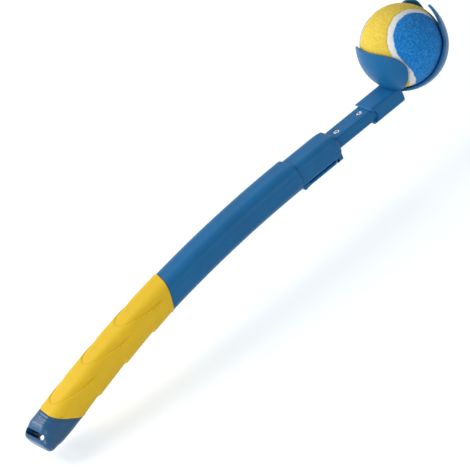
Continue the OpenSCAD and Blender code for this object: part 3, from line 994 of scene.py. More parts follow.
    def hollows(self, back: Array, turn: Array) -> Array:
        """Depth of the swept hollows over the grip's front and sides.

        Args:
            back: Distance of each point behind the collar.
            turn: Its angle from the front, in degrees.

        Returns:
            The depth at each point.
        """
        share = np.clip(turn / self.hollow_side, 0.0, 1.0)
        deep = np.zeros_like(back)
        fade = self.hollow_front + (1 - self.hollow_front) * ease(*self.hollow_deepen, turn)
        fade = self.hollow_sink * fade * (1 - ease(self.hollow_close, 1.0, share))
        power = self.curve - self.curve_fall * ease(*self.curve_from, share)
        for k in range(self.hollow_count):
            tip = self.hollow_tip + k * self.hollow_pitch
            upper = tip + self.hollow_upper * (1 - share ** 2)
            lower = tip + self.hollow_lower * np.sqrt(1 - share ** 2)
            across = (back - upper) / np.maximum(lower - upper, self.hollow_least)
            wall = 1 - ease(0.0, self.hollow_wall, back - lower)
            deep = np.maximum(deep, fade * np.clip(across, 0.0, 1.0) ** power * wall)
        return deep

    def fingers(self, back: Array, turn: Array) -> Array:
        """Depth of the finger steps along the grip's back.

        Args:
            back: Distance of each point behind the collar.
            turn: Its angle from the front, in degrees.

        Returns:
            The depth at each point.
        """
        phase = np.mod((back - self.finger_from) / self.finger_pitch, 1.0)
        wave = ease(0.0, self.finger_step, phase) * (1 - phase) ** self.finger_fade
        front, rear = self.finger_ends
        inside = ease(0.0, front, back - self.line.tube_len) * ease(0.0, rear, self.line.grip_rear - back)
        return self.finger_sink * wave * inside * ease(*self.finger_sides, turn)

    def make_grip(self) -> Piece:
        """The soft sleeve: slanted rolled ends, swept hollows on both sides, finger steps behind.

        Returns:
            The piece.
        """
        line, roll = self.line, fillet(self.grip_edge)
        outer, inner = self.grip.points(), self.grip.grown(-self.sleeve_wall).points()
        head, tail = -line.tube_len - self.seat, -line.grip_rear
        turn = np.degrees(np.arctan2(np.abs(outer[:, 0]), outer[:, 1]))
        normal = unit(outer)
        loops = [line.loop(self.grip.points(i), head - b, self.front_cut) for i, b in roll]
        first = self.grip_edge + self.grip_past
        start = head - first + self.front_cut.at(outer)
        end = tail + first + self.rear_cut.at(outer)
        for u in np.linspace(0, 1, self.rows):
            x = (1 - u) * start + u * end
            deep = self.hollows(-x, turn) + self.fingers(-x, turn)
            rows = outer - normal * deep[:, None]
            loops.append(line.place(x, rows[:, 0], rows[:, 1]))
        loops += [line.loop(self.grip.points(i), tail + b, self.rear_cut) for i, b in reversed(roll)]
        front, rear = self.sleeve_square
        middle = -(line.tube_len + line.grip_rear) / 2
        for x, cut in ((tail, self.rear_cut), (tail + rear, SQUARE), (middle, SQUARE),
                       (head - front, SQUARE), (head, self.front_cut)):
            loops.append(line.loop(inner, x, cut))
        return Shape.loft(loops, ring=True).piece("grip", self.grip_smooth)

    def cap_loop(self, back: float, inset: float, share: float) -> Array:
        """One loop of the end cap.

        Args:
            back: Distance from the butt end, along the line.
            inset: How far the loop is drawn in.
            share: How far it follows the grip's rear cut, up to 1.

        Returns:
            The loop's points.
        """
        full, corner = self.grip.grown(-self.cap_step), self.cap_corner
        round_in = max(corner - back, 0.0)
        half_w = full.width / 2 - corner + math.sqrt(corner ** 2 - round_in ** 2)
        half_w += self.cap_flare * (1 - float(ease(0.0, self.cap_taper, back)))
        rise = float(ease(*self.cap_rise, min(back / self.cap_slope, 1.0)))
        lift = (rise - self.cap_lift) / (1 - self.cap_lift)
        drop = math.sin(math.pi / 2 * min(back / self.cap_taper, 1.0))
        top, low = (self.cap_end / 2 + (full.thick - self.cap_end) / 2 * part for part in (lift, drop))
        of_width, of_height = self.cap_roll
        roll = min(full.front_r, of_width * half_w, of_height * (top + low))
        rows = Section(2 * half_w, top + low, roll, roll).points(inset)
        rows[:, 1] += (top - low) / 2
        return self.line.loop(rows, -self.line.butt + back, self.rear_cut, share)

    def make_cap(self) -> Piece:
        """The end cap: a plug in the tube, a fine groove, a sloping end and the strap slot.

        Returns:
            The piece.
        """
        line, end = self.line, -self.neck_end
        plug = self.neck.grown(-self.tube_wall - self.seat)
        front = line.cap_len - self.seat
        inset, run = self.plug_edge
        loops = [line.loop(plug.points(inset), end + self.plug_len)]
        loops += [line.loop(plug.points(), x) for x in (end + self.plug_len - run, end)]
        loops.append(line.loop(plug.points(), -line.butt + front, self.rear_cut))
        loops += [self.cap_loop(front - b, i, 1.0) for i, b in fillet(self.cap_front, steps=4)]
        for step, share in self.groove_steps:
            loops.append(self.cap_loop(front - self.groove_at - step, share * self.groove_sink, 1.0))
        near = front - self.groove_at - self.groove_past
        for back in np.linspace(near, self.cap_edge + self.cap_short, num=34):
            loops.append(self.cap_loop(back, 0.0, float(ease(self.cap_square, near, back))))
        butt = reversed(fillet(self.cap_edge)[:-1])
        loops += [self.cap_loop(b + self.cap_short, i, 0.0) for i, b in butt]
        item = Shape.loft(loops).piece("cap", self.cap_smooth)
        carve(item, self.slot_tool(), Cut.TAKE, self.cap_smooth)
        soften(item, self.slot_edge, self.slot_angle, self.cap_smooth)
        return item

    def slot_tool(self) -> Shape:
        """The strap slot's cutter, leaning through the cap's end.

        Returns:
            The cutter.
        """
        corner = self.slot_round * self.slot_l
        oval = Section(self.slot_w, self.slot_l, corner, corner).points()
        along = oval[:, 1] + self.slot_at - self.line.butt
        ends = (-self.slot_past, self.slot_past)
        return Shape.loft([self.line.place(along - self.slot_lean * z, oval[:, 0], z) for z in ends])


@dataclass
class Clamp:
    """The collar at the handle's front and the lever that clamps the arm."""

    line: StickLine
    length: float = 42 * MM
    collar: Section = Section(22.8 * MM, 18.5 * MM, 6.5 * MM, 4.5 * MM)
    collar_smooth: float = 40.0
    pocket: Section = Section(19 * MM, 14.7 * MM, 3.6 * MM, 3.6 * MM)
    nose_len: float = 9 * MM
    nose_past: float = 0.4
    nose_drop: float = 1.2 * MM
    nose_roll: float = 2.2 * MM
    nose_slim: float = 0.55
    end_r: float = 3.9 * MM
    rear_edge: float = 0.5 * MM
    spigot: Section = Section(20.6 * MM, 18.1 * MM, 6.05 * MM, 6.05 * MM)
    spigot_len: float = 14 * MM
    mouth: Section = Section(17.6 * MM, 10.6 * MM, 3.3 * MM, 3.3 * MM)
    mouth_len: float = 2 * MM
    mouth_lip: float = 0.35 * MM
    lever_w: float = 20 * MM
    lever_t: float = 1.8 * MM
    lever_len: float = 35.6 * MM
    lever_gap: float = 0.5 * MM
    lever_edge: float = 0.35 * MM
    lever_smooth: float = 38.0
    room_past: Pair = (0.2 * MM, 0.3 * MM)
    foot_l: float = 6 * MM
    foot_up: float = 4.2 * MM
    foot_edge: float = 0.4 * MM
    lip_r: float = 1.4 * MM
    lip_out: float = 0.8 * MM
    lip_run: tuple[Pair, ...] = ((2.6 * MM, 0.5 * MM), (4.2 * MM, 0.1 * MM), (6 * MM, 0.0))
    pin_back: float = 5.8 * MM
    hub_r: float = 1.9 * MM
    hub_proud: float = 0.25 * MM
    hub_tie: float = 2.2 * MM
    hub_root: Pair = (0.3 * MM, 0.1 * MM)
    hub_edge: float = 0.2 * MM
    ear_r: float = 2.0 * MM
    ear_w: float = 2.6 * MM
    ear_front: float = 41 * MM
    ear_corner: float = 0.5 * MM
    ear_flat: float = 1.2 * MM
    ear_root: float = 1.9 * MM
    ear_slope: Pair = (2.5 * MM, 1 * MM)
    ear_edge: float = 0.25 * MM
    ear_gap: float = 0.25 * MM
    cam_throw: float = 0.7 * MM
    gap: float = 0.3 * MM
    pad_l: float = 5.4 * MM
    window_depths: Pair = (30 * MM, 4.5 * MM)

    def build(self) -> None:
        """Makes and dresses the collar and the lever."""
        dress(self.make_collar(), Body.HANDLE, Finishes.BLUE_PLASTIC, "clamp_collar")
        dress(self.make_lever(), Body.LEVER, Finishes.BLUE_PLASTIC, "clamp_lever")

    @property
    def plate(self) -> Pair:
        """Heights of the lever plate's two faces."""
        top = -self.collar.thick / 2 - self.lever_gap
        return top, top - self.lever_t

    @property
    def pin(self) -> Pair:
        """X and Z of the lever's pin, from the collar's rear face."""
        return self.length - self.pin_back, self.plate[1] + self.hub_r - self.hub_proud

    @property
    def lever_tail(self) -> float:
        """Where the lever's free end stands, ahead of the collar's rear face."""
        return self.pin[0] - self.lever_len

    @property
    def knuckle_w(self) -> float:
        """Width of the lever's knuckle between the ears."""
        return self.lever_w - 2 * self.ear_w - 2 * self.gap

    def make_collar(self) -> Piece:
        """The collar: spigot, body, tapered nose, mouth, ears and the pad's window.

        Returns:
            The piece.
        """
        line, lip = self.line, self.mouth_lip
        loops = [line.loop(self.spigot.points(), x) for x in (-self.spigot_len, 0.0)]
        loops += [line.loop(self.collar.points(i), b) for i, b in fillet(self.rear_edge)]
        body = np.linspace(2 * self.rear_edge, self.length - self.nose_roll, num=28)
        nose = [self.length - b for _, b in reversed(fillet(self.nose_roll, steps=9)[:-1])]
        loops += [line.loop(self.nose(x).points(), x) for x in [*body, *nose]]
        for i, b in fillet(lip, steps=4):
            loops.append(line.loop(self.mouth.points(-lip + b), self.length - lip + i))
        wall_at = self.length - self.mouth_len
        loops += [line.loop(self.mouth.points(), wall_at), line.loop(self.pocket.points(), wall_at),
                  line.loop(self.pocket.points(), -self.spigot_len)]
        item = Shape.loft(loops, ring=True).piece("collar", self.collar_smooth)
        for side in (-1, 1):
            carve(item, self.ear(side), Cut.JOIN, self.collar_smooth)
        carve(item, self.window(), Cut.TAKE, self.collar_smooth)
        return item

    def nose(self, x: float) -> Section:
        """The collar's section, drawn in towards the mouth.

        Args:
            x: Distance ahead of the collar's rear face.

        Returns:
            The section there.
        """
        full, roll_r = self.collar, self.nose_roll
        start, end = self.length - self.nose_len, self.length + self.nose_past * self.nose_len
        slope = self.nose_drop * float(ease(start, end, x))
        left = min(self.length - x, roll_r)
        roll = roll_r - math.sqrt(max(roll_r ** 2 - (roll_r - left) ** 2, 0.0))
        inset = slope + roll
        share = inset / (self.nose_drop + roll_r)
        front_r, back_r = (r + (self.end_r - r) * share for r in (full.front_r, full.back_r))
        return Section(full.width - 2 * self.nose_slim * inset, full.thick - 2 * inset, front_r, back_r)

    def ear(self, side: int) -> Shape:
        """One of the two ears that hold the pin, square in front and round behind.

        Args:
            side: 1 for the ear on +Y and -1 for the other.

        Returns:
            The ear.
        """
        pin_x, end, corner = self.pin[0], self.ear_front, self.ear_corner
        low, inside = self.plate[1], -self.collar.thick / 2 + self.ear_root
        along, up = self.ear_slope
        back = arc(self.pin, self.ear_r, 180, 268, count=12)
        front = [[pin_x + self.ear_flat, low], [end - corner, low], [end, low + corner],
                 [end, inside + up], [end - along, inside], [pin_x - self.ear_r, inside]]
        slab = Shape.slab(np.concatenate([back, front]), self.ear_w, self.ear_edge, along=1)
        return slab.moved(self.line.start + (0, side * (self.lever_w - self.ear_w) / 2, 0))

    def window(self) -> Shape:
        """The opening in the collar's back for the pad and the cam.

        Returns:
            The cutter.
        """
        rim = oblong(self.pad_l / 2 + self.gap, self.knuckle_w / 2 + self.gap)
        walls = [np.insert(rim, 2, -deep, axis=1) for deep in self.window_depths]
        return Shape.loft(walls).moved(self.line.ahead(self.pin[0]))

    def make_lever(self) -> Piece:
        """The lever: a thin plate, a foot that closes round the collar, and a knuckle on the pin.

        Returns:
            The piece.
        """
        top, low = self.plate
        tail, front = self.lever_tail, self.pin[0] - self.ear_r - self.ear_gap
        lip = arc((tail + self.lip_r, low - self.lip_out + self.lip_r), self.lip_r, 180, 270, count=9)
        hollow = [[tail + along, low - deep] for along, deep in self.lip_run]
        outline = np.concatenate([lip, hollow, [[front, low], [front, top], [tail, top]]])
        plate = Shape.slab(outline, self.lever_w, self.lever_edge, along=1)
        item = plate.moved(self.line.start).piece("lever", self.lever_smooth)
        carve(item, self.foot(), Cut.JOIN, self.lever_smooth)
        carve(item, self.knuckle(), Cut.JOIN, self.lever_smooth)
        room = self.collar.grown(self.lever_gap).points()
        behind, ahead = self.room_past
        bar = Shape.loft([self.line.loop(room, x) for x in (tail - behind, front + ahead)])
        carve(item, bar, Cut.TAKE, self.lever_smooth)
        return item

    def foot(self) -> Shape:
        """The block at the lever's free end, before it is hollowed to the collar.

        Returns:
            The block.
        """
        high = self.lever_t + self.foot_up
        plan = oblong(self.lever_w / 2, high / 2) + (0, self.plate[1] + high / 2)
        slab = Shape.slab(plan, self.foot_l, self.foot_edge, along=0)
        return slab.moved(self.line.ahead(self.lever_tail + self.foot_l / 2))

    def knuckle(self) -> Shape:
        """The lever's knuckle: a hub and its cam, tied back to the plate.

        Returns:
            The knuckle.
        """
        pin_x, pin_z = self.pin
        top, low = self.plate
        front = arc(self.pin, self.hub_r, -90, 90, count=15)
        front[len(front) // 2 + 1:, 1] += self.cam_throw
        rear = arc((pin_x, pin_z + self.cam_throw), self.hub_r, 90, 200, count=15)
        tie, (under, over) = pin_x - self.hub_r - self.hub_tie, self.hub_root
        outline = np.concatenate([front, rear, [[tie, top - under], [tie, low + over]]])
        return Shape.slab(outline, self.knuckle_w, self.hub_edge, along=1).moved(self.line.start)


@dataclass
class Arm:
    """The flat telescoping arm: two half shells and the screws that hold them."""

    line: StickLine
    bar: Section = Section(17 * MM, 10 * MM, 3 * MM, 3 * MM)
    wall: float = 2 * MM
    tail: float = 70 * MM
    tip: float = 99.2 * MM
    parting: float = 0.16 * MM
    end_edge: float = 0.5 * MM
    end_run: float = 2 * MM
    smooth: float = 30.0
    screw_at: float = 73.5 * MM
    screw_pitch: float = 24 * MM
    screw_places: tuple[int, ...] = (0, 1, 3, 5)
    screw_smooth: float = 40.0
    head_d: float = 4.8 * MM
    head_h: float = 1.1 * MM
    head_sink: float = 0.2 * MM
    head_edge: float = 0.1 * MM
    dome_h: float = 0.45 * MM
    shank_d: float = 2.4 * MM
    shank_low: float = 3.2 * MM
    shank_tip: Pair = (0.3 * MM, 3.7 * MM)
    seat_rim: float = 0.25 * MM
    seat_play: float = 0.12 * MM
    seat_low: float = 2 * MM
    seat_past: Pair = (0.01 * MM, 2 * MM)
    cross_l: float = 3.3 * MM
    cross_w: float = 1.5 * MM
    cross_deep: float = 0.95 * MM
    cross_taper: float = 0.45
    cross_past: Pair = (0.02 * MM, 1 * MM)
    cross_turn: Pair = (0.35, 0.9)
    window: Triple = (88.9 * MM, 11.4 * MM, 5.2 * MM)
    window_walls: Pair = (1 * MM, 20 * MM)

    def build(self) -> None:
        """Makes and dresses the shells and the screws."""
        dress(self.make_shell(1), Body.ARM, Finishes.BLUE_PLASTIC, "arm_front_shell")
        dress(self.make_shell(-1), Body.ARM, Finishes.BLUE_PLASTIC, "arm_back_shell")
        dress(self.make_screws(), Body.ARM, Finishes.STEEL, "arm_screws")

    @property
    def screws(self) -> list[float]:
        """Places of the screws along the arm: two show, two are inside the handle."""
        return [self.screw_at - k * self.screw_pitch for k in self.screw_places]

    def half_loop(self, side: int, inset: float) -> Array:
        """The section of one half shell.

        Args:
            side: 1 for the front half and -1 for the back half.
            inset: How far the outside is drawn in.

        Returns:
            Rows of Y and Z.
        """
        split = self.parting
        outer, inner = self.bar.points(inset), self.bar.grown(-self.wall).points()
        outer, inner = outer[outer[:, 1] > split], inner[inner[:, 1] > split]
        outer = outer[np.argsort(-np.arctan2(outer[:, 1], outer[:, 0]))]
        inner = inner[np.argsort(np.arctan2(inner[:, 1], inner[:, 0]))]
        half, rim = self.bar.width / 2 - inset, self.bar.width / 2 - self.wall
        rows = np.concatenate([[[-half + split, 0.0], [-half, split]], outer,
                               [[half, split], [half - split, 0.0], [rim, 0.0]], inner, [[-rim, 0.0]]])
        return rows * (1, side)

    def make_shell(self, side: int) -> Piece:
        """One half shell, with a fine parting line and the button's window; the front has screw seats.

        Args:
            side: 1 for the front half and -1 for the back half.

        Returns:
            The piece.
        """
        ends = fillet(self.end_edge, steps=3)
        rows = [(-self.tail + b, i) for i, b in ends]
        rows += [(x, 0.0) for x in np.linspace(-self.tail + self.end_run, self.tip - self.end_run, num=24)]
        rows += [(self.tip - b, i) for i, b in reversed(ends)]
        loops = [self.line.start + np.insert(self.half_loop(side, i), 0, x, axis=1) for x, i in rows]
        item = Shape.loft(loops).piece("arm_front" if side > 0 else "arm_back", self.smooth)
        if side > 0:
            for x in self.screws:
                carve(item, self.seat(x), Cut.TAKE, self.smooth)
        middle, length, high = self.window
        rim = oblong(length / 2, high / 2) + (middle, 0)
        walls = [np.insert(rim, 1, y, axis=1) for y in self.window_walls]
        carve(item, Shape.loft(walls).moved(self.line.start), Cut.TAKE, self.smooth)
        return item

    def seat(self, x: float) -> Shape:
        """The countersunk seat of a screw's head, with a softened rim.

        Args:
            x: The screw's place along the arm.

        Returns:
            The cutter.
        """
        radius, bore = self.head_d / 2 + self.seat_play, self.shank_d / 2 + self.seat_play
        top, wide = self.bar.thick / 2, radius + self.seat_rim
        low = top - self.head_h - self.head_sink
        profile = [(bore, -self.seat_low), (bore, low), (radius, low), (radius, top - self.seat_rim)]
        profile += [(wide, top + past) for past in self.seat_past]
        return Shape.lathe(profile).moved(self.line.ahead(x))

    def make_screws(self) -> Piece:
        """The screws: pan heads with a cross recess, on short shanks.

        Returns:
            The piece, with all the screws.
        """
        radius, shank, edge = self.head_d / 2, self.shank_d / 2, self.head_edge
        top = self.bar.thick / 2 - self.head_sink
        under, (tip_r, tip_low) = top - self.head_h, self.shank_tip
        dome = [(radius * math.cos(a), top - self.dome_h + self.dome_h * math.sin(a))
                for a in np.radians(np.linspace(0, 80, num=7))]
        one = Shape.lathe([(tip_r, -tip_low), (shank, -self.shank_low), (shank, under),
                           (radius - edge, under), (radius, under + edge), *dome])
        every, *others = (one.moved(self.line.ahead(x)) for x in self.screws)
        for other in others:
            every = every.plus(other)
        item = every.piece("screws", self.screw_smooth)
        start, step = self.cross_turn
        for k, x in enumerate(self.screws):
            carve(item, self.recess(x, start + step * k, top), Cut.TAKE, self.screw_smooth)
        return item

    def recess(self, x: float, turn: float, top: float) -> Shape:
        """The cross recess of one screw.

        Args:
            x: The screw's place along the arm.
            turn: How far the screw is turned, in radians.
            top: Height of the head's top.

        Returns:
            The cutter.
        """
        wide, slim = self.cross_l / 2, self.cross_w / 2
        corner = np.array([(wide, -slim), (wide, slim), (slim, slim)])
        across = corner[:, ::-1] * (-1, 1)
        rim = np.concatenate([corner, across, -corner, -across])
        loops = [np.insert(rim * self.cross_taper, 2, top - self.cross_deep, axis=1)]
        loops += [np.insert(rim, 2, top + past, axis=1) for past in self.cross_past]
        return Shape.loft(loops).turned(Matrix.Rotation(turn, 3, "Z")).moved(self.line.ahead(x))


@dataclass
class Claw:
    """The three-petal cup on its socket, and the release button."""

    line: StickLine
    smooth: float = 40.0
    ball_x: float = 129.5 * MM
    ball_above: float = 28 * MM
    ball_r: float = 31.75 * MM
    gap: float = 0.9 * MM
    wall: float = 2.0 * MM
    cup_step: Triple = (0.5 * MM, 0.0, 0.3 * MM)
    cup_high: float = 21.6 * MM
    cup_close: float = 0.74
    lean: float = math.radians(4.5)
    low_edge: float = 20.2 * MM
    low_rim: float = 14.5 * MM
    petal_round: float = 18 * MM
    rim_bend: Pair = (-30.2 * MM, 15.9 * MM)
    rim_at: Pair = (-36.0 * MM, 14.9 * MM)
    notch_round: float = 1.4 * MM
    notch_back: float = 20.9 * MM
    notch_slope: float = 18.0
    hub_depth: float = 26 * MM
    top_start: float = 17.8 * MM
    top_tilt: float = 44.0
    top_bend: float = 14.3 * MM
    top_r: float = 40 * MM
    top_turn: float = 32.0
    tip_at: Pair = (26.0 * MM, 19.6 * MM)
    tip_bend: Pair = (17.5 * MM, 6.0 * MM)
    bow_past: float = 1.25
    petal_gap: float = 12 * MM
    split_depth: float = 15 * MM
    tip_round: float = 1.3 * MM
    tip_corner: float = 3.4 * MM
    arc_count: int = 25
    bend_count: int = 24
    top_count: int = 40
    split_count: int = 60
    outline_step: float = 0.4 * MM
    edge_step: float = 0.35 * MM
    trial_step: float = 0.5 * MM
    mesh_step: float = 1.3 * MM
    mesh_row: float = 0.87
    mesh_clear: float = 0.6
    room_high: float = 60 * MM
    room_low: float = 0.01 * MM
    mouth_b: float = -51 * MM
    mouth_run: float = 2 * MM
    socket: Section = Section(20.8 * MM, 13.4 * MM, 3 * MM, 3 * MM)
    socket_back: float = 30.8 * MM
    socket_depth: float = 21 * MM
    socket_edge: float = 1.0 * MM
    hole: Section = Section(17.24 * MM, 10.24 * MM, 3.12 * MM, 3.12 * MM)
    hole_lip: float = 0.7
    lip: float = 0.6 * MM
    arch_depth: float = 4 * MM
    arch_half: float = 5 * MM
    arch_past: float = 30 * MM
    strip: Triple = (21.5 * MM, 14.6 * MM, 1.1 * MM)
    strip_corner: float = 1.2 * MM
    strip_root: float = 0.6 * MM
    strip_edge: float = 0.35 * MM
    strip_draw: Pair = (0.05, 0.07)
    button_l: float = 10.8 * MM
    button_h: float = 4.6 * MM
    button_out: float = 1.5 * MM
    button_start: float = 5 * MM
    button_corner: float = 0.8 * MM
    button_edge: float = 0.6 * MM
    button_play: float = 0.3 * MM
    button_room: Pair = (7 * MM, 20 * MM)
    button_room_corner: float = 0.9 * MM
    arm_wall: float = 2 * MM
    flange_gap: float = 0.42 * MM
    flange_wider: float = 2 * MM
    flange_h: float = 5.4 * MM
    flange_t: float = 1.8 * MM
    flange_corner: float = 0.4 * MM
    flange_edge: float = 0.2 * MM
    rib_r: float = 0.45 * MM
    rib_half: float = 8 * MM
    rib_pitch: float = 2.6 * MM
    rib_out: float = 0.12 * MM

    def build(self) -> None:
        """Makes and dresses the head and its button."""
        dress(self.make_head(), Body.ARM, Finishes.BLUE_PLASTIC, "claw_head")
        dress(self.make_button(), Body.BUTTON, Finishes.NAVY_PLASTIC, "head_button")

    @property
    def centre(self) -> Array:
        """The ball's centre."""
        return self.line.start + (self.ball_x, 0.0, self.ball_above)

    @property
    def cup_centre(self) -> Array:
        """The middle of the cup, which stands a little ahead of the ball that lies in it."""
        return self.centre + self.cup_step

    @property
    def button_centre(self) -> Array:
        """The point of the arm's middle line that the button stands beside."""
        return self.centre + (self.mouth_b + self.button_start + self.button_l / 2, 0, -self.ball_above)

    @property
    def mid_r(self) -> float:
        """Radius of the middle of the cup's wall."""
        return self.ball_r + self.gap + self.wall / 2

    def wide_at(self, high: Array) -> Array:
        """The wall's distance from the cup's axis at heights above its middle, where it closes in."""
        return np.sqrt(self.mid_r ** 2 - np.where(high < 0, 1.0, self.cup_close) * high ** 2)

    def onto_wall(self, rows: Array) -> Array:
        """Brings points onto the middle of the cup's wall.

        Args:
            rows: Points of the cup's frame.

        Returns:
            The points on the wall.
        """
        high = rows[:, 2:]
        ring = unit(rows * (1, 1, 0)) * self.wide_at(np.maximum(high, 0.0))
        return np.where(high < 0, unit(rows) * self.mid_r, ring + rows * (0, 0, 1))

    def outward(self, rows: Array) -> Array:
        """The wall's outward direction at points of the cup's frame."""
        return unit(np.where(rows[:, 2:] < 0, rows, rows * (1, 1, self.cup_close)))

    def spread(self, rows: Array) -> Array:
        """Lays points of the wall out flat round the cup's back.

        Args:
            rows: Points of the cup's frame on the wall.

        Returns:
            The flat points.
        """
        high = rows[:, 2]
        below = self.mid_r * np.arccos(np.clip(-high / self.mid_r, -1, 1))
        run = np.where(high < 0, below, self.mid_r * math.pi / 2 + high)
        turn = np.arctan2(rows[:, 1], rows[:, 0])
        return columns(run * np.cos(turn), run * np.sin(turn))

    def gather(self, flat: Array) -> Array:
        """Brings flat points back onto the wall, the reverse of spread.

        Args:
            flat: The flat points.

        Returns:
            Points of the cup's frame on the wall.
        """
        run = np.linalg.norm(flat, axis=1)
        turn = np.arctan2(flat[:, 1], flat[:, 0])
        tip = np.minimum(run / self.mid_r, math.pi / 2)
        high = np.where(tip < math.pi / 2, -self.mid_r * np.cos(tip), run - self.mid_r * math.pi / 2)
        wide = self.wide_at(high)
        return columns(wide * np.cos(turn), wide * np.sin(turn), high)

    def side_outline(self) -> Array:
        """The petals' edges seen from the side, from the lower petal's rim to the upper petals' tip.

        Returns:
            Rows of X and Z from the cup's middle.
        """
        corner = self.low_edge - self.low_rim - self.petal_round * (math.sqrt(2) - 1)
        side = arc((-self.low_edge - self.petal_round, corner), self.petal_round, 45, 0, self.arc_count)
        notch = arc((-self.notch_back, self.notch_round - self.hub_depth), self.notch_round,
                    180, 270 + self.notch_slope, self.arc_count)
        tilt, end = math.radians(self.top_tilt), self.top_tilt - 90
        top_mid = (self.top_start - self.top_bend / math.tan(tilt) - self.top_r * math.sin(tilt),
                   self.top_r * math.cos(tilt) - self.top_bend)
        top = arc(top_mid, self.top_r, end - self.top_turn, end, self.arc_count)
        rim = self.bow(side[0], self.rim_bend, self.rim_at)[::-1]
        tip = self.bow((self.top_start, 0.0), self.tip_bend, self.tip_at)
        return self.evenly(np.concatenate([rim, side, notch, top, tip]), self.outline_step)

    def bow(self, start: Sequence[float], bend: Sequence[float], end: Sequence[float]) -> Array:
        """Points of a line that is drawn aside by a point, run on a little past its end."""
        t = np.linspace(0.0, self.bow_past, num=30)[:, None]
        return (1 - t) ** 2 * np.array(start) + 2 * t * (1 - t) * np.array(bend) + t ** 2 * np.array(end)

    @staticmethod
    def evenly(rows: Array, step: float) -> Array:
        """Spaces the points of an open line evenly.

        Args:
            rows: The line's points.
            step: The spacing wanted.

        Returns:
            The spaced points, with both ends.
        """
        run = np.concatenate([[0.0], np.cumsum(np.linalg.norm(np.diff(rows, axis=0), axis=1))])
        at = np.linspace(0.0, run[-1], int(run[-1] / step) + 1)
        return columns(*(np.interp(at, run, column) for column in rows.T))

    def half_edge(self) -> Array:
        """The petals' edge on the -Y half of the wall, from the back's middle to the front's.

        Returns:
            Points of the cup's frame on the wall.
        """
        x, _, z = pitched(np.insert(self.side_outline(), 1, 0.0, axis=1), self.lean).T
        inside = np.abs(z) < self.mid_r
        left = self.wide_at(np.where(inside, z, 0.0)) ** 2 - x ** 2
        keep = inside & (left > 0) & (z < self.cup_high)
        petals = columns(x, -np.sqrt(np.maximum(left, 0.0)), z)[keep]
        top, half, corner = self.cup_high, self.petal_gap / 2, self.tip_corner
        turn = np.linspace(0, math.pi / 2, self.bend_count)
        wide = float(self.wide_at(np.array(top)))
        start = math.atan2(petals[-1, 1], petals[-1, 0]) * wide
        runs = np.concatenate([np.linspace(start, -half - corner, self.top_count),
                               -half - corner * (1 - np.sin(turn))]) / wide
        highs = np.concatenate([np.full(self.top_count, top), top - corner * (1 - np.cos(turn))])
        tip = self.onto_wall(columns(wide * np.cos(runs), wide * np.sin(runs), highs))
        floor = half - self.split_depth
        walls = columns(0.0, -half, np.linspace(top - corner, floor, self.split_count))
        bend = columns(0.0, -half * np.cos(turn), floor - half * np.sin(turn))
        split = np.concatenate([walls, bend])
        split[:, 0] = np.sqrt(self.wide_at(split[:, 2]) ** 2 - split[:, 1] ** 2)
        return np.concatenate([petals, tip, split])

    def edge(self) -> Array:
        """The whole closed edge of the petals, with softened corners.

        Returns:
            Points of the cup's frame on the wall.
        """
        half = self.half_edge()
        other = half[::-1] * (1, -1, 1)
        loop = np.concatenate([half, other[1:-1]])
        loop = self.evenly(np.concatenate([loop, loop[:1]]), self.edge_step)[:-1]
        reach = int(self.tip_round * 2 / self.edge_step)
        weight = np.hanning(2 * reach + 3)[1:-1]
        weight /= weight.sum()
        soft = sum(w * np.roll(loop, k, axis=0) for w, k in zip(weight, range(-reach, reach + 1)))
        return self.onto_wall(soft)

    def petals(self) -> Shape:
        """The cup's shell with its petals: two faces of the wall and a fully rounded edge.

        Returns:
            The closed shell, seen from the cup's middle.
        """
        edge, half = self.edge(), self.wall / 2
        run = np.roll(edge, -1, axis=0) - np.roll(edge, 1, axis=0)
        inward = unit(np.cross(self.outward(edge), run))
        trial = self.spread(self.onto_wall(edge + inward * self.trial_step))
        if abs(area(trial)) > abs(area(self.spread(edge))):
            inward = -inward
        rings = []
        for turn in np.radians(np.linspace(90, -90, num=13))[1:-1]:
            base = self.onto_wall(edge + inward * half * (1 - math.cos(turn)))
            rings.append(base + self.outward(base) * half * math.sin(turn))
        rim = self.onto_wall(edge + inward * half)
        points, faces = self.fill(self.spread(rim))
        wall = self.gather(points)
        wall[:len(rim)] = rim
        out = self.outward(wall) * half
        count, size = len(rim), len(points)
        faces = faces + [tuple(i + size for i in face[::-1]) for face in faces]
        starts = [0, *(2 * size + k * count for k in range(len(rings))), size]
        for a, b in zip(starts[:-1], starts[1:]):
            faces += band(a, b, count)
        return Shape(pitched(np.concatenate([wall + out, wall - out, *rings]), -self.lean), faces)

    def fill(self, rim: Array) -> tuple[Array, list[Face]]:
        """Fills a flat outline with an even net of triangles.

        Args:
            rim: Points of the closed outline.

        Returns:
            The points, the outline's first, and the triangles.
        """
        count, scale, inside_only, nearest = len(rim), 1000.0, 1, 1e-6
        low, high = rim.min(axis=0), rim.max(axis=0)
        xs = np.arange(low[0], high[0], self.mesh_step)
        ys = np.arange(low[1], high[1], self.mesh_step * self.mesh_row)
        net = np.array([(x + (k % 2) * self.mesh_step / 2, y) for k, y in enumerate(ys) for x in xs])
        near = np.array([np.min(np.sum((rim - p) ** 2, axis=1)) for p in net])
        net = net[near > (self.mesh_clear * self.mesh_step) ** 2]
        seeds = [Vector(p) for p in np.concatenate([rim, net]) * scale]
        edges = [(j, (j + 1) % count) for j in range(count)]
        made, _, faces, origin, _, _ = delaunay_2d_cdt(seeds, edges, [], inside_only, nearest)
        points = np.array([tuple(p) for p in made]) / scale
        used = sorted({i for face in faces for i in face})
        first = {old[0]: i for i, old in enumerate(origin) if old}
        order = [first[j] for j in range(count)]
        order += [i for i in used if not (origin[i] and origin[i][0] < count)]
        place = {old: new for new, old in enumerate(order)}
        return points[order], [tuple(place[i] for i in face) for face in faces]

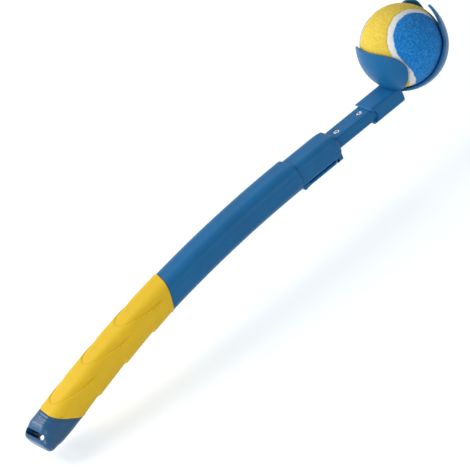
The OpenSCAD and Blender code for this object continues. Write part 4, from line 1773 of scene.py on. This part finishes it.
    def make_head(self) -> Piece:
        """The head: the petal shell joined to its socket.

        Returns:
            The piece.
        """
        item = self.socket_block().piece("claw", self.smooth)
        radius = self.mid_r
        bowl = [(radius * math.sin(a), -radius * math.cos(a)) for a in np.radians(np.arange(3, 90, 3))]
        profile = [(self.room_low, -radius), *bowl, (radius, 0.0), (radius, self.room_high)]
        room = Shape.lathe(profile, sides=96).turned(Matrix.Rotation(self.lean, 3, "Y"))
        carve(item, room.moved(self.cup_centre), Cut.TAKE, self.smooth)
        carve(item, self.arches(), Cut.TAKE, self.smooth)
        carve(item, self.petals().moved(self.cup_centre), Cut.JOIN, self.smooth)
        carve(item, self.button_hole(), Cut.TAKE, self.smooth)
        return item

    def socket_block(self) -> Shape:
        """The socket's block: rolled mouth, hole for the arm, rounded end and the strip on its back.

        Returns:
            The closed block in the frame.
        """
        mouth, end = self.mouth_b, self.mouth_b + self.socket_back
        run = np.linspace(mouth + self.mouth_run, end - 2 * self.socket_edge, num=18)
        outer = [(i, mouth + b) for i, b in fillet(self.lip)] + [(0.0, x) for x in run]
        outer += [(i, end - b) for i, b in reversed(fillet(self.socket_edge))]
        lip = self.lip * self.hole_lip
        inner = [(0.0, mouth + self.socket_depth), (0.0, mouth + 2 * self.lip)]
        inner += [(-lip + b, mouth + i) for i, b in reversed(fillet(lip, steps=4))]
        loops = [self.socket_loop(self.hole, *row) for row in inner]
        loops += [self.socket_loop(self.socket, *row) for row in outer]
        block = Shape.loft(loops).piece("block")
        carve(block, self.back_strip(), Cut.JOIN)
        points = np.array([tuple(v.co) for v in block.data.vertices])
        faces = [tuple(p.vertices) for p in block.data.polygons]
        discard(block)
        return Shape(points, faces).moved(self.centre)

    def socket_loop(self, section: Section, inset: float, x: float) -> Array:
        """A section of the socket at a place along the stick, from the ball's centre."""
        rows = section.points(inset)
        return columns(x, rows[:, 0], rows[:, 1] - self.ball_above)

    def back_strip(self) -> Shape:
        """The raised strip on the socket's back.

        Returns:
            The strip, from the ball's centre.
        """
        length, wide, rise = self.strip
        slim_x, slim_y = self.strip_draw
        plan = Section(wide, length, self.strip_corner, self.strip_corner, 6, 3).points()
        middle = np.array([self.mouth_b + length / 2, 0, 0])
        rim = columns(plan[:, 1] + self.mouth_b + length / 2, plan[:, 0], 0.0)
        back = -self.ball_above - self.socket.thick / 2
        drawn = (rim - middle) * (1 - slim_x, 1 - slim_y, 1) + middle + (0, 0, back - rise)
        walls = [rim + (0, 0, back - rise + self.strip_edge), rim + (0, 0, back + self.strip_root)]
        return Shape.loft([drawn, *walls])

    def arches(self) -> Shape:
        """The thumb arches cut into the socket's side walls at its mouth.

        Returns:
            The cutter.
        """
        radius = (self.arch_half ** 2 + self.arch_depth ** 2) / (2 * self.arch_depth)
        bar = Shape.lathe([(radius, -self.arch_past), (radius, self.arch_past)], sides=96)
        bar = bar.turned(Matrix.Rotation(math.pi / 2, 3, "X"))
        return bar.moved(self.centre + (self.mouth_b + self.arch_depth - radius, 0, -self.ball_above))

    def button_hole(self) -> Shape:
        """The button's window in the socket's side wall.

        Returns:
            The cutter.
        """
        length, high = self.button_l + 2 * self.button_play, self.button_h + 2 * self.button_play
        plan = Section(length, high, self.button_room_corner, self.button_room_corner, 5, 2).points()
        loops = [np.insert(plan, 1, y, axis=1) for y in self.button_room]
        return Shape.loft(loops).moved(self.button_centre)

    def make_button(self) -> Piece:
        """The release button: a domed key with grip ribs, and its flange behind the arm's wall.

        Returns:
            The piece.
        """
        face = self.socket.width / 2 + self.button_out
        back = self.hole.width / 2 - self.arm_wall - self.flange_gap - self.flange_t
        front, corner = back + self.flange_t, self.flange_corner
        key = Section(self.button_l, self.button_h, self.button_corner, self.button_corner, 6, 3)
        flange = Section(self.button_l + self.flange_wider, self.flange_h, corner, corner, 6, 3)
        rows = [(flange, self.flange_edge, back), (flange, 0.0, back + self.flange_edge),
                (flange, 0.0, front), (key, 0.0, front)]
        rows += [(key, i, face - b) for i, b in reversed(fillet(self.button_edge))]
        loops = [np.insert(section.points(inset), 1, y, axis=1) for section, inset, y in rows]
        item = Shape.loft(loops).moved(self.button_centre).piece("button", self.smooth)
        groove = Shape.lathe([(self.rib_r, -self.rib_half), (self.rib_r, self.rib_half)], sides=20)
        for k in (-1, 0, 1):
            place = self.button_centre + (k * self.rib_pitch, face + self.rib_out, 0)
            carve(item, groove.moved(place), Cut.TAKE, self.smooth)
        return item


@dataclass
class FeltBall:
    """The ball: two felt panels that interlock, the seam between them, and short loose fibres."""

    centre: Array
    radius: float = 31.75 * MM
    felt: float = 2.2 * MM
    smooth: float = 60.0
    seam_w: float = 4.4 * MM
    seam_under: float = 0.9 * MM
    seam_sink: float = 0.55 * MM
    seam_crown: float = 0.25 * MM
    turn: Triple = (-178.8, -9.8, -86.6)
    lobe_lean: float = math.radians(14)
    edge_r: float = 1.3 * MM
    edge_drop: float = 1.0 * MM
    edge_rows: tuple[float, ...] = (0.0, 0.08, 0.25, 0.5, 0.8, 1.1)
    wave: float = 0.42 * MM
    wave_scales: tuple[int, ...] = (14, 23, 37, 58, 83)
    wave_fall: float = 0.45
    wave_seed: int = 5
    nap: float = 0.25 * MM
    fibres: int = 9000
    fibre_l: float = 0.85 * MM
    fibre_w: float = 0.07 * MM
    fibre_root: float = 0.08 * MM
    fibre_tip: float = 0.05 * MM
    fibre_mid: float = 0.8
    fibre_curl: float = 0.3
    fibre_spread: Pair = (0.5, 1.2)
    fibre_lift: Pair = (0.35, 1.0)
    fibre_seed: int = 27
    levels: int = 5

    def build(self) -> None:
        """Makes and dresses the panels, their fibres and the seam."""
        rng = np.random.default_rng(self.fibre_seed)
        for name, side, choice in (("blue", 1, Finishes.BLUE_FELT), ("yellow", -1, Finishes.YELLOW_FELT)):
            panel, net = self.make_panel(name, side)
            dress(panel, Body.BALL, choice, f"felt_panel_{name}")
            dress(self.make_fibres(name, net, rng), Body.BALL, choice)
        dress(self.make_seam(), Body.BALL, Finishes.WHITE_SEAM, "ball_seam")

    def sphere(self) -> tuple[Array, Array]:
        """An even net of triangles on the unit sphere.

        Returns:
            The points and the triangles.
        """
        work = bmesh.new()
        bmesh.ops.create_icosphere(work, subdivisions=self.levels + 1, radius=1.0)
        points = np.array([tuple(v.co) for v in work.verts])
        faces = np.array([[v.index for v in f.verts] for f in work.faces])
        work.free()
        return unit(points), faces

    def seam_side(self, rows: Array) -> Array:
        """Signed distance of unit directions from the middle of the seam.

        Args:
            rows: Directions in the ball's own frame.

        Returns:
            Distance along the surface, above zero on the blue side.
        """
        c, s = math.cos(self.lobe_lean), math.sin(self.lobe_lean)
        half = math.acos(-s * s) / 2
        other = np.stack([np.arccos(np.clip(rows @ (0, k * c, s), -1, 1)) - half for k in (1, -1)])
        own = np.stack([half - np.arccos(np.clip(rows @ (k * c, 0, -s), -1, 1)) for k in (1, -1)])
        return np.where(rows[:, 2] > 0, other.min(axis=0), own.max(axis=0)) * self.radius

    def ripple(self, rows: Array) -> Array:
        """A small uneven wave along the felt's cut edge.

        Args:
            rows: Unit directions in the ball's own frame.

        Returns:
            The wave at each direction.
        """
        rng = np.random.default_rng(self.wave_seed)
        total = np.zeros(len(rows))
        for scale in self.wave_scales:
            wave = np.sin(rows @ (rng.normal(size=3) * scale) + rng.uniform(0, 6))
            total += wave * (self.wave_scales[0] / scale) ** self.wave_fall
        return total * self.wave / 2

    @staticmethod
    def split(points: Array, faces: Array, values: Array, level: float
              ) -> tuple[Array, Array, Array]:
        """Splits triangles of the unit sphere along a level of a field.

        Args:
            points: Unit directions.
            faces: Triangles.
            values: The field at each point.
            level: The level to split along.

        Returns:
            The points, triangles and field after the split.
        """
        above = values > level
        mixed = above[faces].any(axis=1) & ~above[faces].all(axis=1)
        kept = [tuple(f) for f in faces[~mixed]]
        extra: list[Array] = []
        seen: dict[tuple[int, int], int] = {}

        def crossing(a: int, b: int) -> int:
            """The point where an edge meets the level, made once.

            Args:
                a: Index of the edge's one end.
                b: Index of its other end.

            Returns:
                The point's index.
            """
            key = (min(a, b), max(a, b))
            if key not in seen:
                t = (level - values[a]) / (values[b] - values[a])
                spot = points[a] + (points[b] - points[a]) * t
                seen[key] = len(points) + len(extra)
                extra.append(spot / np.linalg.norm(spot))
            return seen[key]

        for face in faces[mixed]:
            lone = [k for k in range(3) if above[face[k]] != above[face[(k + 1) % 3]]
                    and above[face[k]] != above[face[(k + 2) % 3]]][0]
            a, b, c = (int(face[(lone + k) % 3]) for k in range(3))
            ab, ac = crossing(a, b), crossing(a, c)
            kept += [(a, ab, ac), (ab, b, c), (ab, c, ac)]
        if not extra:
            return points, np.array(kept), values
        return (np.concatenate([points, extra]), np.array(kept),
                np.concatenate([values, np.full(len(extra), level)]))

    def patch(self, field_of: Callable[[Array], Array], levels: Sequence[float]
              ) -> tuple[Array, Array, Array]:
        """The part of the sphere where a field is above its first level.

        Args:
            field_of: Gives the field at unit directions.
            levels: Levels to split along; the first is the patch's edge.

        Returns:
            Directions, triangles and field of the patch.
        """
        rounding = 1e-12
        points, faces = self.sphere()
        values = field_of(points)
        for level in levels:
            points, faces, values = self.split(points, faces, values, level)
        faces = faces[values[faces].min(axis=1) >= levels[0] - rounding]
        used, packed = np.unique(faces, return_inverse=True)
        return points[used], packed.reshape(-1, 3), values[used]

    def closed(self, points: Array, faces: Array, top: Array) -> Shape:
        """Makes a closed shell of a patch between its top and the felt's floor.

        Args:
            points: Unit directions.
            faces: Triangles.
            top: Radius of the top at each point.

        Returns:
            The shell, in the frame.
        """
        edges = np.concatenate([faces[:, [0, 1]], faces[:, [1, 2]], faces[:, [2, 0]]])
        there = {(int(a), int(b)) for a, b in edges}
        rim = [(a, b) for a, b in there if (b, a) not in there]
        size = len(points)
        every = [tuple(int(i) for i in f) for f in faces]
        every += [tuple(int(i) + size for i in f[::-1]) for f in faces]
        every += [(b, a, a + size, b + size) for a, b in sorted(rim)]
        rows = np.concatenate([points * top[:, None], points * (self.radius - self.felt)])
        return Shape(self.set_down(rows), every)

    def set_down(self, rows: Array) -> Array:
        """Turns points of the ball's own frame into the claw and moves them there."""
        turn = Euler([math.radians(a) for a in self.turn], "XYZ").to_matrix()
        return rows @ np.array(turn).T + self.centre

    def make_panel(self, name: str, side: int) -> tuple[Piece, tuple[Array, Array]]:
        """One felt panel with a rolled, slightly uneven edge.

        Args:
            name: The panel's colour.
            side: 1 for the blue panel and -1 for the yellow one.

        Returns:
            The piece, and the points of its top in the ball's own frame with their triangles.
        """
        def beside(rows: Array) -> Array:
            """Distance of directions from the seam's middle, on the panel's side."""
            return side * self.seam_side(rows) + self.ripple(rows)

        base = self.seam_w / 2
        points, faces, values = self.patch(beside, [base + self.edge_r * row for row in self.edge_rows])
        rolled = np.clip((values - base) / self.edge_r, 0.0, 1.0)
        top = self.radius - self.nap - self.edge_drop * (1 - np.sqrt(1 - (1 - rolled) ** 2))
        panel = self.closed(points, faces, top).piece(f"felt_{name}", self.smooth)
        return panel, (points * top[:, None], faces)

    def make_fibres(self, name: str, net: tuple[Array, Array], rng: np.random.Generator
                    ) -> Piece:
        """Short loose fibres that lie over a panel.

        Args:
            name: The panel's colour.
            net: The panel's points and triangles.
            rng: Source of the scatter.

        Returns:
            The piece.
        """
        points, faces = net
        a, b, c = (points[faces[:, k]] for k in range(3))
        size = np.linalg.norm(np.cross(b - a, c - a), axis=1)
        pick = rng.choice(len(faces), self.fibres, p=size / size.sum())
        u, v = rng.random((2, self.fibres, 1))
        over = (u + v) > 1
        u, v = np.where(over, 1 - u, u), np.where(over, 1 - v, v)
        root = a[pick] + u * (b - a)[pick] + v * (c - a)[pick]
        out = unit(root)
        lie = unit(np.cross(out, rng.normal(size=(self.fibres, 3))))
        across = np.cross(out, lie)
        wide = across * self.fibre_w / 2
        long = self.fibre_l * rng.uniform(*self.fibre_spread, (self.fibres, 1))
        curl = across * long * rng.normal(0.0, self.fibre_curl, (self.fibres, 1))
        high = rng.uniform(*self.fibre_lift, (self.fibres, 1)) * self.nap
        root = root - out * self.fibre_root
        mid = root + lie * long * 0.5 + out * (high * self.fibre_mid + self.fibre_root)
        tip = root + lie * long + curl + out * (high + self.fibre_tip)
        slim = wide * self.fibre_mid
        rows = np.stack([root - wide, root + wide, mid + slim, mid - slim, tip], axis=1)
        every: list[Face] = []
        for k in range(0, 5 * self.fibres, 5):
            every += [(k, k + 1, k + 2, k + 3), (k + 3, k + 2, k + 4)]
        mesh = Shape(self.set_down(rows.reshape(-1, 3)), every).mesh(f"fibres_{name}")
        mesh.shade_smooth()
        return put(f"fibres_{name}", mesh)

    def make_seam(self) -> Piece:
        """The pale seam: a band a little below the felt, rounded across its width.

        Returns:
            The piece.
        """
        reach = self.seam_w / 2 + self.seam_under

        def inside(rows: Array) -> Array:
            """Distance of directions inside the band's edge."""
            return reach - np.abs(self.seam_side(rows))

        points, faces, values = self.patch(inside, [0.0, 0.5 * reach])
        across = np.clip(1 - values / reach, 0.0, 1.0)
        top = self.radius - self.seam_sink - self.seam_crown * across ** 2
        return self.closed(points, faces, top).piece("seam", self.smooth)


@dataclass
class InnerParts:
    """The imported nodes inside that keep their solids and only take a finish."""

    finishes: dict[str, Finishes] = field(default_factory=lambda: {
        "guide_bush": Finishes.NAVY_PLASTIC,
        "brake_pad": Finishes.DARK_RUBBER,
        "pressure_plate": Finishes.STEEL,
        "lever_pin": Finishes.STEEL,
        "arm_tail_stop": Finishes.NAVY_PLASTIC,
        "button_spring": Finishes.STEEL,
        "ball_core": Finishes.DARK_RUBBER,
    })

    def dress(self) -> None:
        """Gives each node its finish."""
        for name, choice in self.finishes.items():
            give_finish(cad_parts[name], choice)
            LOG.info("%s: packed solid, %s", name, choice.value.name)


@dataclass(frozen=True)
class Lamp:
    """A soft square lamp that looks at the object."""

    name: str
    place: Triple
    size: float
    power: float

    def hang(self, aim: Vector) -> None:
        """Puts the lamp in the scene.

        Args:
            aim: The point that it faces.
        """
        light = bpy.data.lights.new(self.name, "AREA")
        light.size = self.size
        light.energy = self.power
        item = put(self.name, light)
        item.location = self.place
        item.rotation_euler = (aim - Vector(self.place)).to_track_quat("-Z", "Y").to_euler()


@dataclass
class Studio:
    """The white studio: floor, lamps, surroundings and the photograph's camera."""

    aim: Triple = (0.1278, 0.0, 0.01019)
    azimuth: float = -28.013
    elevation: float = 32.847
    roll: float = -23.138
    distance: float = 2.5435
    focal_px: float = 3500.0
    image_px: float = 470.0
    sensor: float = 36.0
    view_end: float = 100.0
    floor_below: float = 10 * MM
    floor_reach: float = 30.0
    floor_tone: Colour = (0.86, 0.86, 0.86)
    floor_rough: float = 0.9
    ambient: float = 0.26
    ambient_tone: Colour = (0.86, 0.95, 1.0)
    glow: float = 2.06
    glow_tone: Colour = (0.93, 0.975, 1.0)
    glow_share: float = 0.3
    lamps: tuple[Lamp, ...] = (
        Lamp("key", (-0.9, 1.5, 1.6), size=1.6, power=42.0),
        Lamp("side", (0.75, -1.3, 0.55), size=0.45, power=2.3),
        Lamp("front", (-1.9, -0.9, 0.9), size=1.2, power=20.0),
    )

    def build(self) -> None:
        """Sets up the floor, the light and the camera."""
        self.set_world()
        self.lay_floor()
        for lamp in self.lamps:
            lamp.hang(Vector(self.aim))
        self.set_camera()
        bpy.context.scene.view_settings.view_transform = "Standard"

    @staticmethod
    def plain_white(tree: bpy.types.NodeTree) -> Any:
        """Picks out the rays that should see plain white.

        Args:
            tree: The node tree.

        Returns:
            The socket that is 1 for those rays.
        """
        path = add_node(tree, "LightPath").outputs
        total = path["Is Camera Ray"]
        for name in ("Is Glossy Ray", "Is Transmission Ray"):
            most = add_node(tree, "Math")
            most.operation = "MAXIMUM"
            tree.links.new(total, most.inputs[0])
            tree.links.new(path[name], most.inputs[1])
            total = most.outputs[0]
        return total

    @staticmethod
    def cross_fade(tree: bpy.types.NodeTree, share: Any, one: Any, two: Any, output: str) -> None:
        """Blends two shaders by a share and links them to a tree's output.

        Args:
            tree: The node tree.
            share: Socket of the second shader's share.
            one: The first shader's node.
            two: The second shader's node.
            output: Name of the output node.
        """
        mix = add_node(tree, "MixShader")
        for value, socket in zip((share, one.outputs[0], two.outputs[0]), mix.inputs):
            tree.links.new(value, socket)
        tree.links.new(mix.outputs[0], tree.nodes[output].inputs["Surface"])

    def set_world(self) -> None:
        """White surroundings for the eye, softer ones for the light."""
        world = bpy.data.worlds.new("studio")
        world.use_nodes = True
        bpy.context.scene.world = world
        tree = world.node_tree
        base = tree.nodes["Background"]
        set_inputs(base, Strength=self.ambient, Color=(*self.ambient_tone, 1))
        white = add_node(tree, "Background", Strength=1.0, Color=(1, 1, 1, 1))
        self.cross_fade(tree, self.plain_white(tree), base, white, "World Output")

    def lay_floor(self) -> None:
        """A pale floor that stays white and keeps a faint shadow."""
        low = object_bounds()[0][2] - self.floor_below
        corners = np.insert(oblong(self.floor_reach, self.floor_reach), 2, low, axis=1)
        item = Shape(corners, [(0, 1, 2, 3)]).piece("floor")
        material = bpy.data.materials.new("studio_floor")
        material.use_nodes = True
        tree = material.node_tree
        shader = tree.nodes["Principled BSDF"]
        set_inputs(shader, Base_Color=(*self.floor_tone, 1), Roughness=self.floor_rough)
        glow = add_node(tree, "Emission", Color=(*self.glow_tone, 1), Strength=self.glow)
        share = add_node(tree, "Math")
        share.operation = "MULTIPLY"
        share.inputs[1].default_value = self.glow_share
        tree.links.new(self.plain_white(tree), share.inputs[0])
        self.cross_fade(tree, share.outputs[0], shader, glow, "Material Output")
        item.data.materials.append(material)
        item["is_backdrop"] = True

    def set_camera(self) -> None:
        """The camera where the photograph was taken from."""
        az, el = math.radians(self.azimuth), math.radians(self.elevation)
        away = Vector((math.sin(az) * math.cos(el), -math.cos(az) * math.cos(el), math.sin(el)))
        data = bpy.data.cameras.new("photo_camera")
        data.sensor_width = self.sensor
        data.sensor_fit = "HORIZONTAL"
        data.lens = self.focal_px / self.image_px * self.sensor
        data.clip_end = self.view_end
        item = put("photo_camera", data)
        item.location = Vector(self.aim) + away * self.distance
        look = (-away).to_track_quat("-Z", "Y").to_matrix()
        item.rotation_euler = (look @ Matrix.Rotation(math.radians(self.roll), 3, "Z")).to_euler()
        bpy.context.scene.camera = item


def main() -> None:
    """Builds the launcher's pieces in order, then the studio."""
    logging.basicConfig(level=logging.INFO, format="%(name)s %(message)s")
    line = StickLine()
    Handle(line).build()
    Clamp(line).build()
    Arm(line).build()
    claw = Claw(line)
    claw.build()
    FeltBall(claw.centre).build()
    InnerParts().dress()
    Studio().build()


if __name__ == "__main__":
    main()
